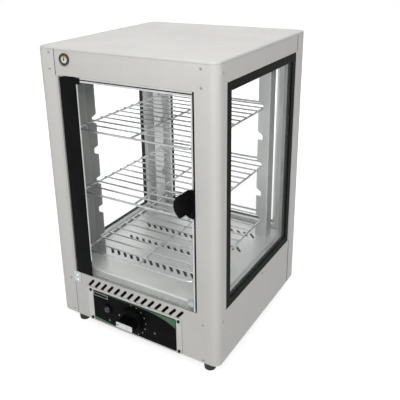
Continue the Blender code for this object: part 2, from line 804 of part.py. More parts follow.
def wires(rods, name):
    """Several straight rods in one mesh."""
    bm = bmesh.new()
    for first, second in rods:
        a = [bm.verts.new(point) for point in first]
        b = [bm.verts.new(point) for point in second]
        for i in range(len(a)):
            j = (i + 1) % len(a)
            bm.faces.new((a[i], a[j], b[j], b[i]))
        bm.faces.new(a)
        bm.faces.new(b)
    return mesh_from(bm, name, rounded=True)


def build_rack(root, chrome, name, level):
    """A wire rack; its side wires rest on the floors of the notches."""
    flat = FRAME_WIRE_R * math.cos(math.pi / FRAME_WIRE_SIDES)
    cross_flat = CROSS_WIRE_R * math.cos(math.pi / CROSS_WIRE_SIDES)
    rear = LINER_IN_REAR - RACK_REAR_CLEAR - FRAME_WIRE_R
    length = rear + RACK_FRONT_Y
    middle = (rear - RACK_FRONT_Y) / 2
    z = NOTCH_FIRST_Z + NOTCH_PITCH * level + GAP + flat
    path = rounded_rectangle(2 * RACK_HALF_W, length, RACK_CORNER_R, steps=5)
    mesh = swept_frame(path, FRAME_WIRE_R, FRAME_WIRE_SIDES, name)
    rack = make_object(name, mesh, (0, middle, z), root, material=chrome)
    lift = flat + cross_flat - WIRE_WELD
    pitch = (length - 2 * CROSS_WIRE_END) / (CROSS_WIRES - 1)
    rods = [
        rod(CROSS_WIRE_R, 2 * RACK_HALF_W + FRAME_WIRE_R, CROSS_WIRE_SIDES, "X",
            (0, pitch * (i - (CROSS_WIRES - 1) / 2), lift))
        for i in range(CROSS_WIRES)
    ]
    cross = helper(name + "_cross_wires", wires(rods, "cross_wires"), rack)
    boolean(rack, cross, "UNION")
    middle_wire = wires(
        [rod(FRAME_WIRE_R, length, FRAME_WIRE_SIDES, "Y")], "middle_wire")
    boolean(rack, helper(name + "_middle_wire", middle_wire, rack), "UNION")
    return rack


def build_window(root, rubber, glass, name, width, place, turn):
    """A black gasket set in the double wall, and the pane in its groove."""
    depth = WALL - SHEET
    groove = WINDOW_GLASS_T / 2 + GAP
    glass_z = -WINDOW_RECESS - WINDOW_GLASS_T / 2
    seat = WINDOW_H / 2
    back = -WALL + GAP
    lip = -depth - SHEET - GASKET_LIP_DEPTH
    profile = [
        (0, -SHEET),
        (0, -GASKET_EDGE),
        (GASKET_EDGE, -GAP / 2),
        (GASKET_W - GASKET_EDGE, -GAP / 2),
        (GASKET_W, -GASKET_EDGE),
        (GASKET_W, glass_z + groove),
        (GASKET_W - GASKET_BITE - GAP, glass_z + groove),
        (GASKET_W - GASKET_BITE - GAP, glass_z - groove),
        (GASKET_W, glass_z - groove),
        (GASKET_W, glass_z - groove - GASKET_KEEPER),
        (GASKET_REVEAL, glass_z - groove - GASKET_KEEPER),
        (GASKET_REVEAL, lip),
        (GASKET_REVEAL - GASKET_LIP + GAP, lip),
        (GASKET_REVEAL - GASKET_LIP + GAP, back + SHEET),
        (0, back + SHEET),
    ]
    loops = [
        rectangle_loop(width, WINDOW_H, WINDOW_R, inset, z) for inset, z in profile
    ]
    mesh = skin(loops, closed=True, name=name + "_gasket")
    location = (place[0], place[1], WINDOW_Z + seat)
    make_object(name + "_gasket", mesh, location, root, turn, rubber)
    bite = GASKET_W - GASKET_BITE
    pane = rounded_rectangle(width - 2 * bite, WINDOW_H - 2 * bite, WINDOW_R, steps=2)
    half = WINDOW_GLASS_T / 2
    mesh = prism([pane], glass_z - half, glass_z + half, name + "_glass")
    make_object(name + "_glass", mesh, location, root, turn, glass)


def build_base(root, steel, rubber):
    mesh = tray(
        2 * (HALF_W - SHEET - GAP), 2 * (HALF_D - SHEET - GAP), TRAY_FLANGE,
        CORNER_R - SHEET, SHEET, name="base_tray")
    make_object("base_tray", mesh, (0, 0, TRAY_LIFT), root, material=steel)
    height = FOOT_DROP + TRAY_LIFT - GAP
    inner = FOOT_R - FOOT_TAPER
    profile = [(0, 0), (inner - FOOT_EDGE, 0), (inner, FOOT_EDGE)]
    profile += [(FOOT_R, height), (0, height)]
    mesh = turned(profile, "foot")
    mesh.materials.append(rubber)
    for name, x, y in (
        ("foot_front_left", -FOOT_X, -FOOT_Y), ("foot_front_right", FOOT_X, -FOOT_Y),
        ("foot_rear_left", -FOOT_X, FOOT_Y), ("foot_rear_right", FOOT_X, FOOT_Y),
    ):
        make_object(name, mesh, (x, y, -FOOT_DROP), root)


def build_heater(root, steel, dark):
    """A tray under the deck with a bent tubular element on two notched brackets."""
    front = FRONT_IN + GAP + GAP
    depth = LINER_IN_REAR - GAP - front
    middle = (LINER_IN_REAR - GAP + front) / 2
    mesh = tray(
        2 * (LINER_IN_X - GAP), depth, PAN_FLANGE, PAN_R, SHEET, name="heater_pan")
    pan = make_object("heater_pan", mesh, (0, middle, LINER_Z), root, material=steel)
    holes = [
        circle(ELEMENT_R + GAP, centre=(side * ELEMENT_HALF_W, ELEMENT_REAR_Y))
        for side in (-1, 1)
    ]
    mesh = prism(holes, -OVERRUN, SHEET + OVERRUN)
    boolean(pan, helper("cut_heater_pan", mesh, root, (0, 0, LINER_Z)))
    low = ELEMENT_Z - ELEMENT_LEG
    x, y0, y1 = ELEMENT_HALF_W, -ELEMENT_FRONT_Y, ELEMENT_REAR_Y
    path = [
        (-x, y1, low), (-x, y1, ELEMENT_Z), (-x, y0, ELEMENT_Z),
        (x, y0, ELEMENT_Z), (x, y1, ELEMENT_Z), (x, y1, low)]
    radii = [ELEMENT_LEG_R, ELEMENT_BEND_R, ELEMENT_BEND_R, ELEMENT_LEG_R]
    curve = bpy.data.curves.new("heating_element", "CURVE")
    curve.dimensions = "3D"
    curve.bevel_depth = ELEMENT_R
    curve.bevel_resolution = 2
    curve.use_fill_caps = True
    points = filleted(path, radii, ARC_STEPS)
    spline = curve.splines.new("POLY")
    spline.points.add(len(points) - 1)
    for point, where in zip(spline.points, points):
        point.co = (*where, 1)
    make_object("heating_element", curve, (0, 0, 0), root, material=dark)
    half_w = ELEMENT_HALF_W + BRACKET_OVER
    top = ELEMENT_Z + ELEMENT_R
    bottom = PAN_FLOOR + GAP
    for name, y in (("heater_bracket_front", -BRACKET_Y), ("heater_bracket_rear", BRACKET_Y)):
        mesh = box(2 * half_w, BRACKET_T, top - bottom, name)
        bracket = make_object(name, mesh, (0, y, bottom), root, material=steel)
        foot = box(2 * half_w, BRACKET_FOOT, BRACKET_T, centre=(0, BRACKET_FOOT / 2 - BRACKET_T / 2))
        boolean(bracket, helper(name + "_foot", foot, bracket), "UNION")
        seats = []
        for side in (-1, 1):
            centre = (side * ELEMENT_HALF_W, ELEMENT_Z)
            arc = arc_points(centre, ELEMENT_R + GAP, math.pi, 2 * math.pi, ARC_STEPS * 2)
            over = top + OVERRUN
            seats.append([(arc[0][0], over)] + arc + [(arc[-1][0], over)])
        cut_through(root, bracket, "cut_" + name, seats, y, 4 * BRACKET_T)


# Door.

def build_door(root, black, glass, chrome, bright):
    """The door's pieces hang on an empty that lies on the pivot axis."""
    door = make_empty("door_pivot", (PIVOT_X, PIVOT_Y, 0), root)
    half = STILE_T / 2
    slot = DOOR_GLASS_T / 2 + GAP
    long_x = STILE_W + STILE_HEAD_W
    outline = [(long_x, -slot), (STILE_SLOT_FROM_PIVOT, -slot)]
    outline += [(STILE_SLOT_FROM_PIVOT, slot), (long_x, slot), (long_x, half)]
    outline += arc_points((0, 0), half, math.pi / 2, 3 * math.pi / 2, 2 * ARC_STEPS)
    outline += [(long_x, -half)]
    mesh = prism([outline], STILE_Z, STILE_TOP, "door_stile", rounded=True)
    stile = make_object("door_stile", mesh, (0, 0, 0), door, material=black)
    height = STILE_TOP - STILE_Z - STILE_HEAD_H
    cut = box(STILE_HEAD_W + OVERRUN, 2 * STILE_T, height + OVERRUN)
    place = (STILE_W + (STILE_HEAD_W + OVERRUN) / 2, 0, STILE_Z - OVERRUN)
    boolean(stile, helper("cut_stile_head", cut, door, place))
    bore = HINGE_PIN_LEN + GAP
    mesh = prism([circle(HINGE_PIN_R + GAP, SMALL_SIDES)], -OVERRUN, bore)
    boolean(stile, helper("cut_stile_bottom_bore", mesh, door, (0, 0, STILE_Z)))
    mesh = prism([circle(HINGE_PIN_R + GAP, SMALL_SIDES)], -bore, OVERRUN)
    boolean(stile, helper("cut_stile_top_bore", mesh, door, (0, 0, STILE_TOP)))

    left = STILE_SLOT_FROM_PIVOT + GAP
    right = DOOR_EDGE_X - PIVOT_X
    bottom = STILE_Z
    top = OPENING_TOP - DOOR_TOP_GAP
    centre = ((left + right) / 2, (bottom + top) / 2)
    pane = rounded_rectangle(right - left, top - bottom, DOOR_GLASS_R, steps=2, centre=centre)
    thick = DOOR_GLASS_T / 2
    mesh = prism([pane], -thick, thick, "door_glass")
    sheet = make_object("door_glass", mesh, (0, 0, 0), door, FACE_FRONT, glass)
    stud_x = right - STUD_INSET
    hole = [circle(STUD_R + GAP, SMALL_SIDES, (stud_x, HANDLE_Z))]
    mesh = prism(hole, -thick - OVERRUN, thick + OVERRUN)
    boolean(sheet, helper("cut_stud_hole", mesh, door, (0, 0, 0), FACE_FRONT))

    low, high = STILE_Z + TRIM_BOTTOM, STILE_TOP - TRIM_TOP - STILE_HEAD_H
    trim = rounded_rectangle(
        TRIM_W, high - low, TRIM_W / 3, steps=2,
        centre=(STILE_W + GAP + TRIM_W / 2, (low + high) / 2))
    mesh = prism([trim], thick + GAP, thick + GAP + TRIM_T, "door_edge_trim")
    make_object("door_edge_trim", mesh, (0, 0, 0), door, FACE_FRONT, bright)

    build_handle(door, black, chrome, right, stud_x, thick)
    half_w = CATCH_W / 2
    strike = rounded_rectangle(CATCH_W, CATCH_H, CATCH_BEVEL, steps=2)
    mesh = prism([strike], 0, STRIKE_T, "door_strike")
    place = (right - CATCH_FROM_EDGE - half_w, thick + GAP + STRIKE_T, CATCH_Z)
    make_object("door_strike", mesh, place, door, FACE_FRONT, chrome)
    return door


def build_handle(door, black, chrome, right, stud_x, thick):
    """A turned spool, cut flat along the pane's edge, with a stud through the pane."""
    profile = [(0, 0), (HANDLE_BASE_R, 0), (HANDLE_BASE_R, HANDLE_BASE_T)]
    steps = 4
    for i in range(1, steps + 1):
        share = i / steps
        ease = math.sin(share * math.pi / 2)
        profile.append((
            HANDLE_BASE_R + (HANDLE_WAIST_R - HANDLE_BASE_R) * ease,
            HANDLE_BASE_T + (HANDLE_WAIST_Z - HANDLE_BASE_T) * share))
    for i in range(1, steps):
        share = i / steps
        ease = 1 - math.cos(share * math.pi / 2)
        profile.append((
            HANDLE_WAIST_R + (HANDLE_GRIP_R - HANDLE_WAIST_R) * ease,
            HANDLE_WAIST_Z + (HANDLE_GRIP_Z - HANDLE_WAIST_Z) * share))
    profile.append((HANDLE_GRIP_R, HANDLE_GRIP_Z))
    profile += edge_rounding(HANDLE_GRIP_R, HANDLE_H, HANDLE_EDGE)
    profile.append((0, HANDLE_H))
    centre_x = right + HANDLE_PAST_EDGE
    place = (centre_x, -thick - GAP, HANDLE_Z)
    mesh = turned(profile, "door_handle", sides=GRIP_SIDES)
    handle = make_object("door_handle", mesh, place, door, FACE_FRONT, black)
    reach = 2 * (thick + GAP) + BACK_PLATE_T
    stud = prism([circle(STUD_R, SMALL_SIDES)], -reach, HANDLE_BASE_T)
    boolean(handle, helper("handle_stud", stud, handle, (stud_x - centre_x, 0, 0)), "UNION")
    flat = HANDLE_FLAT
    size = 2 * HANDLE_BASE_R
    cut = box(size, size + OVERRUN, HANDLE_H + 2 * OVERRUN, centre=(flat + size / 2, 0))
    boolean(handle, helper("cut_handle_flat", cut, handle, (0, 0, -OVERRUN)))
    bore = STUD_R + GAP
    profile = [(bore, 0), (BACK_PLATE_R, 0)]
    profile += edge_rounding(BACK_PLATE_R, BACK_PLATE_T, BACK_PLATE_EDGE)
    profile.append((bore, BACK_PLATE_T))
    mesh = turned(profile, "handle_back_plate", closed=True)
    make_object(
        "handle_back_plate", mesh, (stud_x, thick + GAP, HANDLE_Z), door, FACE_REAR, chrome)


def build_hinges(root, chrome):
    """Two bent plates; each carries the pin that the stile turns on."""
    tab_r = STILE_T / 2
    for name, way in (("door_hinge_lower", 1), ("door_hinge_upper", -1)):
        lower = way == 1
        edge = OPENING_Z if lower else OPENING_TOP
        inner = edge + way * (GAP + HINGE_T)
        front = -HALF_D - GAP - HINGE_T if lower else FRONT_IN + GAP
        x0 = PIVOT_X - HINGE_PLATE_SIDE
        x1 = x0 + HINGE_PLATE_W
        tab_front = front if lower else PIVOT_Y - tab_r
        tab_rear = PIVOT_Y + HINGE_TAB_IN
        z0, z1 = sorted((edge + way * GAP, inner))
        left = OPENING_X0 + GAP
        mesh = prism([[
            (left, tab_front), (x1, tab_front), (x1, tab_rear), (left, tab_rear)]],
            z0, z1, name)
        hinge = make_object(name, mesh, (0, 0, 0), root, material=chrome)
        z0, z1 = sorted((inner, edge - way * HINGE_PLATE_H))
        plate = prism([[
            (x0, front), (x1, front), (x1, front + HINGE_T), (x0, front + HINGE_T)]],
            z0, z1, name + "_plate")
        boolean(hinge, helper(name + "_plate", plate, root), "UNION")
        z0, z1 = sorted((edge + way * (GAP + HINGE_T / 2), inner + way * HINGE_PIN_LEN))
        pin = prism([circle(HINGE_PIN_R, SMALL_SIDES)], z0, z1, name + "_pin", rounded=True)
        boolean(hinge, helper(name + "_pin", pin, root, (PIVOT_X, PIVOT_Y, 0)), "UNION")


def build_catch(root, black):
    front = PANE_BACK_Y + GAP + STRIKE_T + GAP
    back = DECK_FRONT_Y - GAP
    x = DOOR_EDGE_X - CATCH_FROM_EDGE - CATCH_W / 2
    mesh = box(CATCH_W, back - front, CATCH_H, "magnet_catch")
    place = (x, (front + back) / 2, CATCH_Z - CATCH_H / 2)
    catch = make_object("magnet_catch", mesh, place, root, material=black)
    soften(catch, CATCH_BEVEL)


def build_seal(root, rubber):
    """A strip glued inside the front sheet; its lip closes the gaps round the pane."""
    left = PIVOT_X + STILE_W + STILE_HEAD_W + SEAL_CLEARANCE
    low = OPENING_Z + SEAL_END
    lip_front = PANE_BACK_Y + GAP
    bodies = []
    for name, inside, trim, front, back in (
        ("door_seal", -SEAL_LIP, 0, lip_front, lip_front + SEAL_T),
        ("seal_base", SEAL_STEP, SEAL_STEP, FRONT_IN + GAP, lip_front + SEAL_T / 2),
    ):
        x0, z0 = left + trim, low + trim
        x1, z1 = OPENING_X1 + inside, OPENING_TOP + inside
        x2, z2 = OPENING_X1 + SEAL_BASE - trim, OPENING_TOP + SEAL_BASE - trim
        outline = [(x0, z1), (x1, z1), (x1, z0), (x2, z0), (x2, z2), (x0, z2)]
        bodies.append((name, prism([outline], -back, -front, name)))
    seal = make_object(bodies[0][0], bodies[0][1], (0, 0, 0), root, FACE_FRONT, rubber)
    boolean(seal, helper(bodies[1][0], bodies[1][1], root, (0, 0, 0), FACE_FRONT), "UNION")


# Controls and fittings.

def front_piece(name, outlines, back, front, root, material, rounded=False):
    """A flat piece in front of the front sheet; back and front are its distances."""
    mesh = prism(outlines, back, front, name, rounded)
    return make_object(name, mesh, (0, -HALF_D, 0), root, FACE_FRONT, material)


def build_controls(root, steel, film, black, silver, lamp, dark):
    plate = [rounded_rectangle(PLATE_W, PLATE_H, PLATE_R, centre=(PLATE_X, PLATE_H / 2))]
    panel = front_piece(
        "control_plate", plate, PLATE_BACK, PLATE_BACK + PLATE_T, root, steel)
    sheet = [rounded_rectangle(
        FILM_W, FILM_H, FILM_R, steps=3, centre=(FILM_X, FILM_Z + FILM_H / 2))]
    label = front_piece("control_film", sheet, FILM_BACK, FILM_FRONT, root, film)
    holes = [
        circle(BUSHING_R + GAP, centre=(KNOB_X, KNOB_Z)),
        circle(LAMP_BARREL_R + GAP, centre=(LAMP_X, LAMP_Z)),
    ]
    depth = 4 * (PLATE_T + FILM_T)
    cut_through(root, panel, "cut_plate_holes", holes, -HALF_D, depth)
    cut_through(root, label, "cut_film_holes", holes, -HALF_D, depth)

    body_front = -SHEET - GAP
    inner = SHAFT_R + GAP
    mesh = box(STAT_W, STAT_H, STAT_D, "thermostat_body")
    place = (KNOB_X, -HALF_D - body_front + STAT_D, KNOB_Z)
    body = make_object("thermostat_body", mesh, place, root, FACE_FRONT, dark)
    soften(body, STAT_EDGE)
    reach = FILM_FRONT - body_front
    neck = prism([circle(BUSHING_R)], STAT_D / 2, STAT_D + reach, "bushing", rounded=True)
    boolean(body, helper("thermostat_bushing", neck, body), "UNION")
    bore = prism([circle(inner, SMALL_SIDES)], STAT_D - SHAFT_IN_BODY, STAT_D + reach + OVERRUN)
    boolean(body, helper("cut_thermostat_bore", bore, body))

    turner = make_empty("knob_axis", (KNOB_X, -HALF_D, KNOB_Z), root)
    back = FILM_FRONT + KNOB_STANDOFF
    shaft = [circle(SHAFT_R, SMALL_SIDES)]
    mesh = prism(
        shaft, body_front - SHAFT_IN_BODY + GAP, back + SHAFT_IN_KNOB, "knob_shaft",
        rounded=True)
    make_object("knob_shaft", mesh, (0, 0, 0), turner, FACE_FRONT, steel)
    profile = [(0, back), (KNOB_R, back)]
    profile += edge_rounding(KNOB_FRONT_R, back + KNOB_SKIRT, KNOB_EDGE)
    profile.append((0, back + KNOB_SKIRT))
    mesh = turned(profile, "knob", sides=GRIP_SIDES)
    knob = make_object("knob", mesh, (0, 0, 0), turner, FACE_FRONT, black)
    front = KNOB_REACH - GRIP_FACE_T - GAP
    outline = rounded_rectangle(GRIP_L, GRIP_T, GRIP_R, steps=3)
    grip = prism([outline], back + KNOB_SKIRT / 2, front, "knob_grip", rounded=True)
    boolean(knob, helper("knob_grip", grip, knob), "UNION")
    socket = prism([circle(inner, SMALL_SIDES)], back - OVERRUN, back + SHAFT_IN_KNOB + GAP)
    boolean(knob, helper("cut_knob_socket", socket, knob))
    inset = GRIP_FACE_EDGE
    outline = rounded_rectangle(
        GRIP_L - 2 * inset, GRIP_T - 2 * inset, GRIP_R - inset, steps=3)
    mesh = prism([outline], front + GAP, KNOB_REACH, "knob_face")
    face = make_object("knob_face", mesh, (0, 0, 0), turner, FACE_FRONT, silver)
    notch = box(2 * POINTER_L, POINTER_W, GRIP_FACE_T + 2 * OVERRUN)
    place = (-GRIP_L / 2, 0, front - OVERRUN)
    boolean(face, helper("cut_pointer", notch, face, place))

    rim = FILM_FRONT + GAP
    barrel = LAMP_BARREL_R
    lens = LAMP_LENS_R
    profile = [(0, -LAMP_BARREL_D), (barrel, -LAMP_BARREL_D), (barrel, rim), (LAMP_R, rim)]
    profile += edge_rounding(LAMP_R, rim + LAMP_RIM, LAMP_RIM / 2)
    profile += [(lens + GAP, rim + LAMP_RIM), (lens + GAP, rim - LAMP_LENS_SEAT)]
    profile.append((0, rim - LAMP_LENS_SEAT))
    mesh = turned(profile, "lamp_bezel")
    place = (LAMP_X, -HALF_D, LAMP_Z)
    make_object("lamp_bezel", mesh, place, root, FACE_FRONT, black)
    top = rim + LAMP_RIM
    radius = (lens * lens + LAMP_DOME * LAMP_DOME) / (2 * LAMP_DOME)
    spread = math.asin(lens / radius)
    profile = [(0, rim - LAMP_LENS_SEAT + GAP), (lens, rim - LAMP_LENS_SEAT + GAP)]
    profile += [
        (radius * math.sin(turn), top + LAMP_DOME - radius + radius * math.cos(turn))
        for turn in (spread * (1 - i / ARC_STEPS) for i in range(ARC_STEPS + 1))
    ]
    mesh = turned(profile, "lamp_lens")
    make_object("lamp_lens", mesh, place, root, FACE_FRONT, lamp)


def build_gauge(root, chrome, white, black, glass):
    place = (GAUGE_X, -HALF_D, GAUGE_Z)
    step = GAUGE_BORE_R - GAUGE_STEP
    pin = NEEDLE_PIN_R + GAP
    pin_floor = GAUGE_FLOOR - NEEDLE_PIN_D + DIAL_T
    profile = [
        (0, -GAUGE_BARREL_D), (GAUGE_BARREL_R, -GAUGE_BARREL_D), (GAUGE_BARREL_R, GAP),
        (GAUGE_R, GAP)]
    profile += edge_rounding(GAUGE_R, GAUGE_PROUD, GAUGE_EDGE)
    profile += [
        (GAUGE_BORE_R, GAUGE_PROUD), (GAUGE_BORE_R, GAUGE_STEP_Z), (step, GAUGE_STEP_Z),
        (step, GAUGE_FLOOR), (pin, GAUGE_FLOOR), (pin, pin_floor), (0, pin_floor)]
    mesh = turned(profile, "gauge_case")
    make_object("gauge_case", mesh, place, root, FACE_FRONT, chrome)
    dial_z = GAUGE_FLOOR + GAP
    profile = [
        (pin, dial_z), (step - GAP, dial_z), (step - GAP, dial_z + DIAL_T),
        (pin, dial_z + DIAL_T)]
    mesh = turned(profile, "gauge_dial", closed=True)
    make_object("gauge_dial", mesh, place, root, FACE_FRONT, white)
    needle_z = dial_z + DIAL_T + GAP
    profile = [(0, pin_floor + GAP), (NEEDLE_PIN_R, pin_floor + GAP), (NEEDLE_PIN_R, needle_z)]
    profile += [(NEEDLE_HUB_R, needle_z), (NEEDLE_HUB_R, needle_z + NEEDLE_T)]
    profile.append((0, needle_z + NEEDLE_T))
    mesh = turned(profile, "gauge_needle", sides=SMALL_SIDES)
    needle = make_object("gauge_needle", mesh, place, root, FACE_FRONT, black)
    half = NEEDLE_W / 2
    arm = prism([[
        (-half, -NEEDLE_TAIL), (half, -NEEDLE_TAIL), (half / 2, NEEDLE_L), (-half / 2, NEEDLE_L)]],
        needle_z, needle_z + NEEDLE_T - GAP / 2)
    boolean(needle, helper("needle_arm", arm, needle), "UNION")
    lens_z = GAUGE_STEP_Z + GAP
    mesh = prism(
        [circle(GAUGE_BORE_R - GAP)], lens_z, lens_z + GAUGE_LENS_T, "gauge_lens",
        rounded=True)
    make_object("gauge_lens", mesh, place, root, FACE_FRONT, glass)


def build_rear_fittings(root, black, cream):
    """A cable gland with nothing in it, and the terminal block it serves."""
    hexagon = prism([circle(GLAND_HEX_R, 6)], GAP, GLAND_HEX_T, "cable_gland")
    gland = make_object(
        "cable_gland", hexagon, (GLAND_X, HALF_D, GLAND_Z), root, FACE_REAR, black)
    profile = [(0, GLAND_HEX_T / 2), (GLAND_CAP_R, GLAND_HEX_T / 2)]
    profile += edge_rounding(GLAND_CAP_R, GLAND_REACH, GLAND_EDGE)
    profile.append((0, GLAND_REACH))
    cap = turned(profile, "gland_cap")
    boolean(gland, helper("gland_cap", cap, gland), "UNION")
    thread = prism([circle(GLAND_THREAD_R)], -GLAND_INSIDE, GLAND_HEX_T / 2 + OVERRUN)
    boolean(gland, helper("gland_thread", thread, gland), "UNION")
    bore = prism([circle(GLAND_BORE_R)], -GLAND_INSIDE - OVERRUN, GLAND_REACH + OVERRUN)
    boolean(gland, helper("cut_gland_bore", bore, gland))

    x, y, step = BLOCK_W / 2, BLOCK_D / 2, BLOCK_STEP
    outline = [
        (-y, 0), (y, 0), (y, BLOCK_H - step), (y - step, BLOCK_H - step),
        (y - step, BLOCK_H), (step - y, BLOCK_H), (step - y, BLOCK_H - step),
        (-y, BLOCK_H - step)]
    mesh = prism([outline], -x, x, "terminal_block")
    place = (BLOCK_X, BLOCK_Y, TRAY_LIFT + SHEET + GAP)
    block = make_object("terminal_block", mesh, place, root, FACE_RIGHT, cream)
    pitch = BLOCK_W / BLOCK_POLES
    poles = [
        circle(BLOCK_BORE_R, SMALL_SIDES, (pitch * (i - (BLOCK_POLES - 1) / 2), BLOCK_H / 3))
        for i in range(BLOCK_POLES)
    ]
    mesh = prism(poles, -BLOCK_D, BLOCK_D)
    boolean(block, helper("cut_terminals", mesh, root, place, FACE_FRONT))


def main():
    clear_scene()
    coat = make_material("powder_coat", (0.62, 0.61, 0.58), 0.42, 0.0)
    steel = make_material("inner_steel", (0.45, 0.46, 0.46), 0.38, 0.9)
    zinc = make_material("zinc_sheet", (0.5, 0.5, 0.5), 0.45, 0.9)
    chrome = make_material("chrome", (0.82, 0.83, 0.84), 0.15, 1.0)
    wire = make_material("chromed_wire", (0.75, 0.76, 0.77), 0.2, 1.0)
    rubber = make_material("black_gasket", (0.015, 0.016, 0.014), 0.6, 0.0)
    foot_rubber = make_material("foot_rubber", (0.012, 0.012, 0.012), 0.75, 0.0)
    glass = make_material("clear_glass", (0.9, 0.95, 0.93), 0.03, 0.0, 0.25)
    black = make_material("black_plastic", (0.012, 0.012, 0.013), 0.35, 0.0)
    film = make_material("printed_film", (0.014, 0.015, 0.015), 0.3, 0.0)
    silver = make_material("silver_face", (0.8, 0.81, 0.82), 0.3, 0.6)
    bright = make_material("bright_trim", (0.7, 0.71, 0.71), 0.25, 1.0)
    lamp = make_material("lamp_lens", (0.05, 0.12, 0.07), 0.15, 0.0)
    white = make_material("dial_white", (0.8, 0.79, 0.74), 0.5, 0.0)
    cream = make_material("ceramic", (0.7, 0.66, 0.55), 0.6, 0.0)
    dark = make_material("oxidised_tube", (0.08, 0.075, 0.07), 0.55, 0.6)

    root = make_empty("case_body", (0, BODY_Y, FOOT_DROP))
    build_shells(root, coat)
    build_roof(root, coat)
    build_liner(root, steel)
    build_ceiling(root, steel)
    build_deck(root, steel)
    for name, side, end, y in (
        ("upright_front_left", -1, -1, UPRIGHT_FRONT_Y),
        ("upright_front_right", 1, -1, UPRIGHT_FRONT_Y),
        ("upright_rear_left", -1, 1, UPRIGHT_REAR_Y),
        ("upright_rear_right", 1, 1, UPRIGHT_REAR_Y),
    ):
        build_upright(root, steel, name, side, end, y)
    for name, level in zip(("rack_lower", "rack_middle", "rack_upper"), RACK_LEVELS):
        build_rack(root, wire, name, level)
    build_window(
        root, rubber, glass, "right_window", SIDE_WINDOW_W, (HALF_W, SIDE_WINDOW_Y), FACE_RIGHT)
    build_window(
        root, rubber, glass, "left_window", SIDE_WINDOW_W, (-HALF_W, SIDE_WINDOW_Y), FACE_LEFT)
    build_window(root, rubber, glass, "rear_window", REAR_WINDOW_W, (0, HALF_D), FACE_REAR)
    build_base(root, zinc, foot_rubber)
    build_heater(root, zinc, dark)
    build_door(root, black, glass, chrome, bright)
    build_hinges(root, chrome)
    build_catch(root, black)
    build_seal(root, rubber)
    build_controls(root, zinc, film, black, silver, lamp, dark)
    build_gauge(root, chrome, white, black, glass)
    build_rear_fittings(root, black, cream)
    bpy.context.view_layer.update()


main()
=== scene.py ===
"""Dresses and lights the heated display case."""
import json
import math

import bmesh
import bpy
from mathutils import Matrix, Vector


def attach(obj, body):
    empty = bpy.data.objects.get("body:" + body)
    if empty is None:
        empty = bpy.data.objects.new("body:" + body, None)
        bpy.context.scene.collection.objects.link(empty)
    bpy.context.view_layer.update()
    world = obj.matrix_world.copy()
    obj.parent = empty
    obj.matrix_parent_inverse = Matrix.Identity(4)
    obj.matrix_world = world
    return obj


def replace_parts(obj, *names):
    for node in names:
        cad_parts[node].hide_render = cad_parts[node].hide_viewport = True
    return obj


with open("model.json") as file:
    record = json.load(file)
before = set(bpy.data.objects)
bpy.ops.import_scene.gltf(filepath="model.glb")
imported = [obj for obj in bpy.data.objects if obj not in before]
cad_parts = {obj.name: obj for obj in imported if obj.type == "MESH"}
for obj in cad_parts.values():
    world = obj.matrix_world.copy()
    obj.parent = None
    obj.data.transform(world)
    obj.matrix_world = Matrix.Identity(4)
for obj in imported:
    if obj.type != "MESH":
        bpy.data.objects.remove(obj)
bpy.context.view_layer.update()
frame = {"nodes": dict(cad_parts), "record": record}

# The case in metres: how far its own frame lies from the world's, where its faces are, how far
# the control plate and the film on it stand out in front, and how thick a print is.
BODY_Y, BODY_Z = 0.0055, 0.0295
HALF_DEPTH = 0.1735
FRONT_Y, REAR_Y = BODY_Y - HALF_DEPTH, BODY_Y + HALF_DEPTH
SIDE_X = 0.175
PLATE_T, FILM_T = 0.0018, 0.0025
PRINT_T = 0.00012


# Materials.

def new_material(name):
    material = bpy.data.materials.new(name)
    material.use_nodes = True
    tree = material.node_tree
    return material, tree, tree.nodes["Principled BSDF"]


def noise(tree, scale, detail, stretch=(1, 1, 1)):
    place = tree.nodes.new("ShaderNodeTexCoord")
    mapping = tree.nodes.new("ShaderNodeMapping")
    mapping.inputs["Scale"].default_value = stretch
    texture = tree.nodes.new("ShaderNodeTexNoise")
    texture.inputs["Scale"].default_value = scale
    texture.inputs["Detail"].default_value = detail
    texture.inputs["Roughness"].default_value = 0.5
    tree.links.new(place.outputs["Object"], mapping.inputs["Vector"])
    tree.links.new(mapping.outputs["Vector"], texture.inputs["Vector"])
    return texture.outputs["Fac"]


def spread(tree, value, low, high, start=0.3, end=0.7):
    node = tree.nodes.new("ShaderNodeMapRange")
    node.inputs["From Min"].default_value = start
    node.inputs["From Max"].default_value = end
    node.inputs["To Min"].default_value = low
    node.inputs["To Max"].default_value = high
    tree.links.new(value, node.inputs["Value"])
    return node.outputs["Result"]


def mixed(tree, factor, first, second):
    node = tree.nodes.new("ShaderNodeMix")
    node.data_type = "RGBA"
    tree.links.new(factor, node.inputs["Factor"])
    for socket, colour in ((node.inputs["A"], first), (node.inputs["B"], second)):
        if isinstance(colour, tuple):
            socket.default_value = (*colour, 1)
        else:
            tree.links.new(colour, socket)
    return node.outputs["Result"]


def combined(tree, operation, first, second):
    """A math node's result; the second value is a socket or a number."""
    node = tree.nodes.new("ShaderNodeMath")
    node.operation = operation
    tree.links.new(first, node.inputs[0])
    if isinstance(second, (int, float)):
        node.inputs[1].default_value = second
    else:
        tree.links.new(second, node.inputs[1])
    return node.outputs["Value"]


def bump(tree, shader, height, strength, distance):
    node = tree.nodes.new("ShaderNodeBump")
    node.inputs["Strength"].default_value = strength
    node.inputs["Distance"].default_value = distance
    tree.links.new(height, node.inputs["Height"])
    tree.links.new(node.outputs["Normal"], shader.inputs["Normal"])


